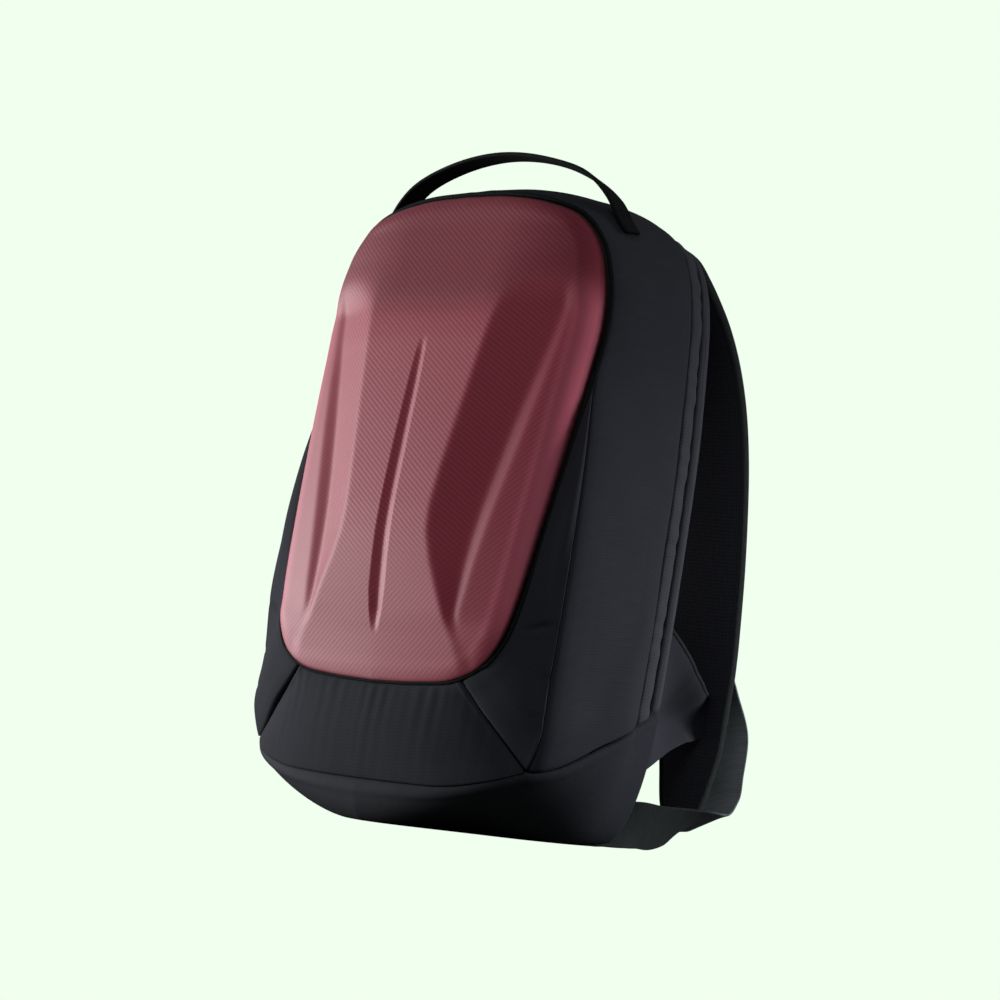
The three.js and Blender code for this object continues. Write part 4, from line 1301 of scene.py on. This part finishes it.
def new_finish(name, values):
    """A material with one main shader, whose sockets are set by name."""
    made = bpy.data.materials.new(name)
    tree = cleared_tree(made)
    shader = node(tree, "BsdfPrincipled", values)
    node(tree, "OutputMaterial", {"Surface": shader})
    return made, tree, shader


def maroon_twill():
    """Maroon ribs that catch a pale sheen from the left."""
    made, tree, shader = new_finish("maroon_twill", {
        "Roughness": 0.58, "Specular IOR Level": 0.5,
        "Sheen Weight": 0.03, "Sheen Roughness": 0.4, "Sheen Tint": linear("#F4DDE2"),
    })
    place = node(tree, "TexCoord").outputs["Object"]
    waver = node(tree, "TexNoise", {"Vector": place, "Scale": 1 / (WAVER_SIZE * MM), "Detail": 2.0})
    waver = node(tree, "Math", {0: waver, 1: WAVER}, operation="MULTIPLY")
    ribs = []
    for kind in (PLATEAU_RIBS, BORDER_RIBS):
        step, slant = 2 * math.pi / (kind["pitch"] * MM), math.radians(kind["slant"])
        across = (step * math.cos(slant), 0, step * math.sin(slant))
        run = node(tree, "VectorMath", {0: place, 1: across}, operation="DOT_PRODUCT").outputs["Value"]
        run = node(tree, "Math", {0: run, 1: waver}, operation="ADD")
        ribs.append(node(tree, "Math", {0: run}, operation="SINE"))

    # Where the border's ribs take over from the plateau's.
    parts = node(tree, "SeparateXYZ", {0: place}).outputs
    low = node(tree, "MapRange", {"Value": parts["Z"], "From Min": TURN_HIGH, "From Max": TURN_LOW})
    half = node(tree, "Math", {0: parts["X"]}, operation="ABSOLUTE")
    wider = {0: parts["Z"], 1: VALLEY_SLOPE, 2: VALLEY_AT}
    valley = node(tree, "Math", wider, operation="MULTIPLY_ADD")
    beyond = node(tree, "Math", {0: half, 1: valley}, operation="SUBTRACT")
    outer = node(tree, "MapRange", {"Value": beyond, "From Min": -VALLEY_SOFT, "From Max": 0.0})
    border = node(tree, "Math", {0: low, 1: outer}, operation="MAXIMUM")
    rib = node(tree, "Mix", {0: border, 2: ribs[0], 3: ribs[1]})
    from_rim = node(tree, "Attribute", attribute_name="from_rim").outputs["Fac"]
    raised = node(tree, "MapRange", {"Value": from_rim, "From Max": RIB_FADE})
    rib = node(tree, "Math", {0: rib, 1: raised}, operation="MULTIPLY")
    strong = node(tree, "MapRange", {"Value": border, "To Min": 1.0, "To Max": BORDER_STRENGTH})
    rib = node(tree, "Math", {0: rib, 1: strong}, operation="MULTIPLY")
    rib = node(tree, "MapRange", {"Value": rib, "From Min": -1.0, "From Max": 1.0})

    # Colour: the ribs, the painted highlight on the rim, the painted shade of the dark line at the edge, and
    # the painted shade on the cap.
    colours = {6: linear("#802D3B"), 7: linear("#903847")}
    colour = node(tree, "Mix", {0: rib, **colours}, data_type="RGBA").outputs[2]
    # Painted highlight: near the rim the twill is mixed towards pale pink, off the cap and above the bottom
    # edge.
    ends = {"From Min": RIM_HIGHLIGHT, "From Max": HIGHLIGHT_FADE, "To Min": HIGHLIGHT_SHARE, "To Max": 0.0}
    pale = node(tree, "MapRange", {"Value": from_rim, **ends})
    on_cap = node(tree, "Attribute", attribute_name="on_cap").outputs["Fac"]
    off_cap = node(tree, "Math", {0: 1.0, 1: on_cap}, operation="SUBTRACT")
    above = node(tree, "MapRange", {"Value": parts["Z"], "From Min": HIGHLIGHT_LOW, "From Max": HIGHLIGHT_HIGH})
    off_cap = node(tree, "Math", {0: off_cap, 1: above}, operation="MULTIPLY")
    pale = node(tree, "Math", {0: pale, 1: off_cap}, operation="MULTIPLY")
    colour = node(tree, "Mix", {0: pale, 6: colour, 7: linear("#BC6274")}, data_type="RGBA").outputs[2]
    # Painted shade: a dark line along the rim's edge.
    ends = {"From Max": RIM_SHADE}
    inner = node(tree, "MapRange", {"Value": from_rim, **ends}, interpolation_type="SMOOTHSTEP")
    colour = node(tree, "Mix", {0: inner, 6: linear("#2B0810"), 7: colour}, data_type="RGBA").outputs[2]
    # Painted shade: the cap's twill is mixed towards black.
    cap_shade = node(tree, "Math", {0: on_cap, 1: 1 - CAP_SHADE}, operation="MULTIPLY")
    colour = node(tree, "Mix", {0: cap_shade, 6: colour, 7: BLACK}, data_type="RGBA").outputs[2]
    relief = node(tree, "Bump", {"Strength": 0.30, "Distance": 0.20 * MM, "Height": rib})
    tree.links.new(colour, shader.inputs["Base Color"])
    tree.links.new(relief.outputs[0], shader.inputs["Normal"])
    return made


# %% [markdown]
# Every other fabric is woven from straight threads, and differs in thread, colour and sheen.
# Slubs are threads a little thicker than their neighbours, drawn out along the weave, and ribs are the
# threads themselves. They follow the piece's own threads, by its UV map. Stitches and teeth are too small
# to have one, so their finish goes by their place.

# %% Woven fabrics
RIB_PART = 0.4  # how much of the thread's look comes from the ribs, the rest being slubs
THREAD_LOW, THREAD_HIGH = 0.25, 0.75  # the part of the range that spans the two colours


def woven(name, dark, light, slub, rib, relief, values, by_place=False, painted_shade=None):
    """A fabric of two sets of threads, with the sizes of its slubs and ribs in millimetres along each.

    Its last argument paints shade along the first set of threads, darker from a start to an end."""
    made, tree, shader = new_finish(name, values)
    if by_place:
        parts = node(tree, "SeparateXYZ", {0: node(tree, "TexCoord").outputs["Object"]}).outputs
        place = node(tree, "CombineXYZ", {0: parts["X"], 1: parts["Z"]})
    else:
        place = node(tree, "UVMap", uv_map="weave")
    drawn = [1 / (size * MM) for size in slub] + [0]
    drawn = node(tree, "VectorMath", {0: place, 1: drawn}, operation="MULTIPLY")
    slubs = node(tree, "TexNoise", {"Vector": drawn, "Scale": 1.0, "Detail": 3.0, "Roughness": 0.6})
    waves = [2 * math.pi / (size * MM) for size in rib] + [0]
    waves = node(tree, "VectorMath", {0: place, 1: waves}, operation="MULTIPLY")
    waves = node(tree, "VectorMath", {0: waves}, operation="SINE")
    parts = node(tree, "SeparateXYZ", {0: waves}).outputs
    ribs = node(tree, "Math", {0: parts["X"], 1: parts["Y"]}, operation="ADD")
    ribs = node(tree, "MapRange", {"Value": ribs, "From Min": -2.0, "From Max": 2.0})
    thread = node(tree, "Mix", {0: RIB_PART, 2: slubs, 3: ribs})
    spread = node(tree, "MapRange", {"Value": thread, "From Min": THREAD_LOW, "From Max": THREAD_HIGH})
    colour = node(tree, "Mix", {0: spread, 6: linear(dark), 7: linear(light)}, data_type="RGBA").outputs[2]
    # Painted shade: the fabric is mixed towards black along its first set of threads.
    if painted_shade:
        run = node(tree, "SeparateXYZ", {0: place}).outputs["X"]
        start, end, most = painted_shade["start"] * MM, painted_shade["end"] * MM, 1 - painted_shade["tone"]
        ends = {"From Min": start, "From Max": end, "To Max": most}
        share = node(tree, "MapRange", {"Value": run, **ends}, interpolation_type="SMOOTHSTEP")
        colour = node(tree, "Mix", {0: share, 6: colour, 7: BLACK}, data_type="RGBA").outputs[2]
    raised = node(tree, "Bump", {"Strength": 0.5, "Distance": relief * MM, "Height": thread})
    tree.links.new(colour, shader.inputs["Base Color"])
    tree.links.new(raised.outputs[0], shader.inputs["Normal"])
    return made


# %% Fabrics of the pack
SOFT = {"Roughness": 0.85, "Specular IOR Level": 0.06}
SHEEN = {"Sheen Weight": 0.01, "Sheen Roughness": 0.5, "Sheen Tint": linear("#E8EEF0")}
FABRICS = {
    "shell": maroon_twill(),
    # Black cloth with faint level slubs, so that the sides don't look like plastic.
    "cloth": woven("black_cloth", "#26272C", "#2D2E34", (1.5, 26), (1.9, 2.3), 0.06, {**SOFT, **SHEEN}),
    # The same cloth cut across the roll, painted lighter on the narrow strips beside the zip: painted light,
    # for the light that they catch.
    "strip": woven("cross_cut_cloth_painted_lighter", "#303136", "#3C3D43", (26, 1.5), (2.3, 1.9), 0.08, {**SOFT, **SHEEN}),
    # Coated cloth under the pack, darker and smoother than the sides.
    "base": woven("coated_base_cloth", "#222328", "#2A2B30", (5, 5), (1.6, 1.6), 0.10,
                  {"Roughness": 0.75, "Specular IOR Level": 0.1}),
    # Open knit over foam, nearly black, which soaks the light up.
    "padding": woven("knit_over_foam", "#1E1F25", "#2C2D33", (3, 3), (2.6, 2.6), 0.25,
                     {"Roughness": 0.95, "Specular IOR Level": 0.1}),
    # Webbing with ribs across its width, a greyer black than the cloth, with painted shade that darkens the
    # low part of its run along the floor.
    "webbing": woven("ribbed_webbing", "#4E5457", "#686F72", (2.5, 30), (1.9, 900), 0.30, {**SOFT, **SHEEN},
                     painted_shade=dict(start=-30, end=25, tone=0.14)),
    # The handle and the welt are of a finer, darker tape; on the welt its near-black is also painted shade,
    # for the gap round the shell.
    "tape": woven("fine_black_tape", "#0E0F10", "#1C1E1F", (2.5, 30), (1.7, 900), 0.25, SOFT),
    # Folded tape, a little lighter than the pad that it binds.
    "binding": woven("binding_tape", "#1C1E1F", "#2C2F31", (4, 4), (1.5, 900), 0.15, {**SOFT, **SHEEN}),
    # Thread of the stitches.
    "thread": woven("black_thread", "#141416", "#2A2B2D", (2, 2), (1, 1), 0.05, SOFT, by_place=True),
    # Moulded plastic of the teeth, the slider and the pull, with a soft shine.
    "zip": woven("zip_plastic", "#08080A", "#101013", (6, 6), (3, 3), 0.03,
                 {"Roughness": 0.5, "Specular IOR Level": 0.3}, by_place=True),
}
print("fabrics:", [made.name for made in FABRICS.values()])

# %% [markdown]
# Last, every piece is tied to the pack's one body, takes the place of its solid and gets its fabric.

# %% Dressing the frame
DRESS = {
    "moulded_shell": ("front_shell", "shell", "shell"),
    "shell_welt": (None, "cloth", "tape"),
    "lower_front_cloth": ("lower_front_panel", "cloth", "cloth"),
    "side_cloth": ("side_panel", "cloth", "cloth"),
    "zip_flap_cloth": ("zip_flap", "cloth", "strip"),
    "rear_gusset_cloth": ("rear_gusset", "cloth", "strip"),
    "base_cloth": ("base_panel", "base", "base"),
    "handle_band": ("grab_handle", "webbing", "tape"),
    "handle_stitches": (None, "webbing", "thread"),
    "back_pad": ("back_panel", "padding", "padding"),
    "zip_tape": ("zip_chain", "cloth", "cloth"),
    "zip_teeth": (None, "zip", "zip"),
    "zip_pull": ("zip_slider", "zip", "zip"),
}
for side, _ in SIDES:
    DRESS.update({
        f"wedge_cloth_{side}": (f"front_wedge_{side}", "cloth", "cloth"),
        f"strap_pad_{side}": (f"shoulder_strap_{side}", "padding", "padding"),
        f"strap_binding_{side}": (None, "webbing", "binding"),
        f"webbing_{side}": (f"strap_webbing_{side}", "webbing", "webbing"),
        f"webbing_stitches_{side}": (None, "webbing", "thread"),
        f"wing_cloth_{side}": (f"strap_wing_{side}", "cloth", "cloth"),
        f"wing_hem_{side}": (None, "cloth", "binding"),
    })
for name, made in pieces.items():
    solid, slot, fabric = DRESS[name]
    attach(made, "root")
    if solid:
        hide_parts(solid)
    made.data.materials.clear()
    made.data.materials.append(FABRICS[fabric])
print("pieces:", len(pieces))

# %% Size of the wing's cut
lattice = wing_surface(*np.meshgrid(*(np.linspace(0, 1, count + 1) for count in WING_GRID)))
wing_cut = [run_lengths(lattice, axis).max() * MM for axis in (1, 0)]
